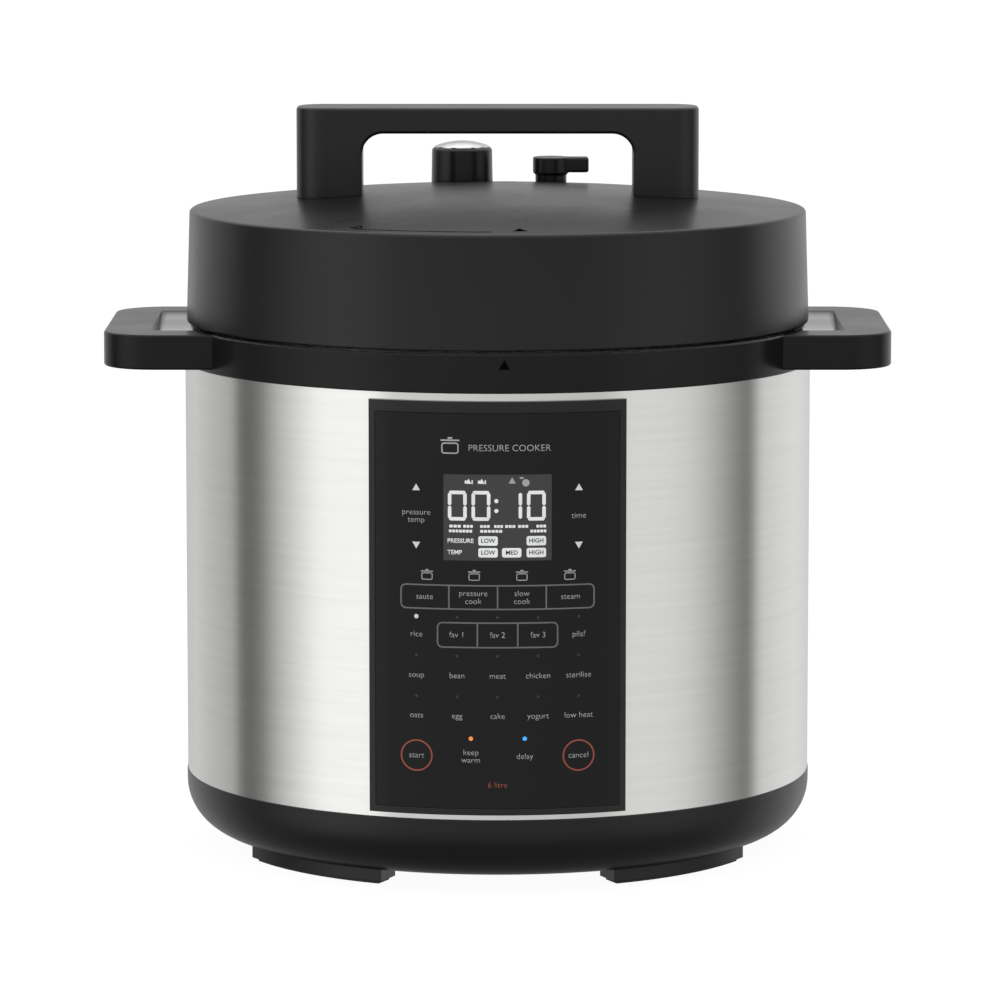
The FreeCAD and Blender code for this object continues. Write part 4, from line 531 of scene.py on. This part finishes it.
def make_printing():
    small, thin = 3.4, -0.03
    left, right = COLUMNS[0], COLUMNS[4]
    bright = [disc(left, LAMP_ROW, 0.9)]
    for across in (left, right):
        bright += [triangle(across, 170.6, 3.2), triangle(across, 147.4, 3.2, down=True)]
    panel_print(bright, "bright_printing", BRIGHT_PRINT)
    text = [word("PRESSURE COOKER", 4.9, 187.4, 3.9, thin), *small_pot(-19.5, 188.0, 1.55)]
    text += [word("pressure", left, 160.6, small, thin), word("temp", left, 157.5, small, thin),
             word("time", right, 159.2, small, thin)]
    for place in (-29.0, -9.6, 10.0, 29.7):
        text += small_pot(place, 134.6)
    text += [word("saute", -30.0, MODE_ROW, small, thin), word("pressure", -10.0, 127.3, small, thin),
             word("cook", -10.0, 124.0, small, thin), word("slow", 10.0, 127.3, small, thin),
             word("cook", 10.0, 124.0, small, thin), word("steam", 30.0, MODE_ROW, small, thin)]
    text += [word(name, across, FAVOURITE_ROW, small, thin)
             for name, across in zip(("fav 1", "fav 2", "fav 3"), COLUMNS[1:4])]
    rows = ((FAVOURITE_ROW, ("rice", None, None, None, "pilaf")),
            (93.0, ("soup", "bean", "meat", "chicken", "sterilise")),
            (76.2, ("oats", "egg", "cake", "yogurt", "low heat")))
    for up, names in rows:
        text += [word(name, across, up, small, thin) for name, across in zip(names, COLUMNS) if name]
    text += [word("start", left, BOTTOM_ROW, small, thin), word("cancel", right, BOTTOM_ROW, small, thin),
             word("keep", -11.0, 61.0, small, thin), word("warm", -11.0, 57.8, small, thin),
             word("delay", 11.2, BOTTOM_ROW, small, thin)]
    panel_print(text, "panel_printing", TEXT_PRINT)
    line = 0.6
    lines = [hollow(bar(0, MODE_ROW, 80.0, 10.4, corner=2.2), line),
             hollow(bar(0, FAVOURITE_ROW, 50.0, 10.8, corner=2.2), line)]
    lines += [bar(place, MODE_ROW, line, 9.6) for place in (-20.0, 0.0, 20.0)]
    lines += [bar(place, FAVOURITE_ROW, line, 10.0) for place in (-8.3, 8.3)]
    panel_print(lines, "key_outlines", LINE_PRINT)
    dots = [disc(across, LAMP_ROW, 0.6, 12) for across in COLUMNS[1:]]
    dots += [disc(across, up, 0.6, 12) for up in UNLIT_ROWS for across in COLUMNS]
    panel_print(dots, "unlit_lamps", FAINT_PRINT)
    rings = [hollow(disc(across, BOTTOM_ROW, 6.6, 48), line) for across in (left, right)]
    panel_print(rings + [word("6 litre", 0.0, 47.4, 3.4, thin)], "orange_printing", ORANGE_PRINT)
    panel_print([disc(-11.0, 66.9, 0.9)], "warm_lamp", ORANGE_LIGHT)
    panel_print([disc(11.2, 66.9, 0.9)], "delay_lamp", BLUE_LIGHT)


make_display()
make_printing()


# ---- marks on the lid and the collar -------------------------------------------------------------


MARK_RADIUS, CLOSED_ANGLE, OPEN_ANGLE = 122.5, math.radians(4.3), math.radians(-28.0)
MARK_LEVEL = 0.3  # the marks are drawn at this height in metres, above the lid
MARK_GAP, MARK_THICKNESS = 0.02, 0.06


def mark_place(radius, angle):
    """A point above the lid, at an angle to the side of the front."""
    return (radius * math.sin(angle) * MM, -radius * math.cos(angle) * MM, MARK_LEVEL)


def lid_triangle(angle, size):
    clear_selection()
    bpy.ops.mesh.primitive_circle_add(vertices=3, radius=size * MM, fill_type="NGON",
                                      location=mark_place(MARK_RADIUS, angle), rotation=(0, 0, angle))
    return settle(bpy.context.object)


def lid_arc(radius, line, first, last):
    """A line round the lid's top, from one angle to another to the side of the front."""
    clear_selection()
    bpy.ops.mesh.primitive_circle_add(vertices=192, radius=radius * MM, fill_type="NGON",
                                      location=(0, 0, MARK_LEVEL))
    arc = hollow(settle(bpy.context.object), line)
    bpy.ops.object.mode_set(mode="EDIT")
    for angle, outwards in ((first, -1), (last, 1)):
        bpy.ops.mesh.select_all(action="SELECT")
        normal = (outwards * math.cos(angle), outwards * math.sin(angle), 0)
        bpy.ops.mesh.bisect(plane_co=(0, 0, MARK_LEVEL), plane_no=normal, clear_outer=True)
    bpy.ops.object.mode_set(mode="OBJECT")
    return arc


def make_lid_marks():
    open_mark = hollow(lid_triangle(OPEN_ANGLE, 3.6), 0.7)
    closed_mark = lid_triangle(CLOSED_ANGLE, 3.4)
    arc = lid_arc(MARK_RADIUS + 3.6, 0.6, OPEN_ANGLE, math.radians(-1.2))
    marks = joined([open_mark, closed_mark, arc], "lid_marks")
    lay_on(marks, "lid_cover", "Z", MARK_GAP, MARK_THICKNESS)
    finished(marks, MARK_PRINT, "lid")


def make_collar_mark():
    """The arrowhead on the front of the collar that the lid's marks are read against."""
    clear_selection()
    mark = triangle(2.8, 221.0, 4.6)
    mark.name = "collar_mark"
    lay_on(mark, "top_collar", "Y", MARK_GAP, MARK_THICKNESS)
    finished(mark, MARK_PRINT, "body")


make_collar_mark()
make_lid_marks()


# ---- stage, light and camera ---------------------------------------------------------------------


def make_floor():
    """A pale floor that is bright enough by itself to lose nearly all of the cooker's shadow."""
    clear_selection()
    bpy.ops.mesh.primitive_plane_add(size=60, location=(0, 0, -0.0002))
    floor = bpy.context.object
    floor.name = "studio_floor"
    material, tree, shader = start_material("studio_floor", Roughness=0.9, Specular_IOR_Level=0.0,
                                            Emission_Color=(1.0, 1.0, 1.0, 1.0), Emission_Strength=0.96)
    place = put(tree, "TexCoord").outputs["Object"]
    tree.links.new(colour_mix(tree, noise(tree, place, 3.0), (0.05, 0.05, 0.05), (0.06, 0.06, 0.06)),
                   shader.inputs["Base Color"])
    floor.data.materials.append(material)
    floor.visible_glossy = False
    floor.visible_diffuse = False


# What the studio shows round the cooker: degrees from the front, towards +X, and brightness.
SURROUND = [(-180, 0.6), (-165, 0.66), (-148, 0.78), (-136, 0.72), (-120, 0.62), (-114, 0.56),
            (-109, 0.2), (-103, 0.17), (-96, 0.28), (-91, 0.52), (-86, 0.72), (-78, 1.0), (-68, 1.38),
            (-48, 1.42), (-38, 0.9), (38, 0.75), (50, 1.03), (66, 0.98), (74, 0.9), (82, 0.74),
            (90, 0.54), (98, 0.34), (105, 0.2), (109, 0.5), (113, 0.88), (130, 0.98), (142, 0.98),
            (160, 0.8), (180, 0.6)]
SURROUND_TOP = 2.0
# Above and below it: brightness, and the heights in degrees where the change begins and is complete.
ABOVE, ABOVE_FROM, ABOVE_TO = 1.7, 22, 48
BELOW, BELOW_FROM, BELOW_TO = 0.25, -16, -40
SEEN = 1.0  # brightness where the camera looks past the cooker


def make_surround():
    world = bpy.data.worlds.new("studio")
    bpy.context.scene.world = world
    world.use_nodes = True
    tree = world.node_tree
    direction = put(tree, "SeparateXYZ", {0: put(tree, "TexCoord").outputs["Generated"]}).outputs
    back = maths(tree, "MULTIPLY", direction["Y"], -1.0)
    turn = maths(tree, "ARCTAN2", direction["X"], back)
    share = maths(tree, "ADD", maths(tree, "DIVIDE", turn, 2 * math.pi), 0.5)
    ramp = put(tree, "ValToRGB", {"Fac": share})
    stops = ramp.color_ramp.elements
    while len(stops) < len(SURROUND):
        stops.new(0.5)
    for stop, (degrees, brightness) in zip(stops, SURROUND):
        stop.position = degrees / 360 + 0.5
        stop.color = (brightness / SURROUND_TOP,) * 3 + (1.0,)
    around = maths(tree, "MULTIPLY", ramp.outputs["Color"], SURROUND_TOP)
    height = maths(tree, "ARCSINE", direction["Z"])
    overhead = spread(tree, height, math.radians(ABOVE_FROM), math.radians(ABOVE_TO))
    below = spread(tree, height, math.radians(BELOW_FROM), math.radians(BELOW_TO))
    level = mix(tree, overhead, around, ABOVE)
    level = mix(tree, below, level, BELOW)
    level = mix(tree, put(tree, "LightPath").outputs["Is Camera Ray"], level, SEEN)
    tree.links.new(level, tree.nodes["Background"].inputs["Strength"])
    tree.nodes["Background"].inputs["Color"].default_value = (1, 1, 1, 1)


CAMERA_PLACE = (0.001, -2.5064, 0.4852)
CAMERA_TILT = 82.334
CAMERA_LENS = 210.24


def make_camera():
    clear_selection()
    bpy.ops.object.camera_add(location=CAMERA_PLACE, rotation=(math.radians(CAMERA_TILT), 0, 0))
    camera = bpy.context.object
    camera.name = "camera"
    camera.data.sensor_width = 36.0
    camera.data.lens = CAMERA_LENS
    camera.data.clip_end = 200.0
    bpy.context.scene.camera = camera


make_floor()
make_surround()
make_camera()
bpy.context.scene.view_settings.view_transform = "Standard"
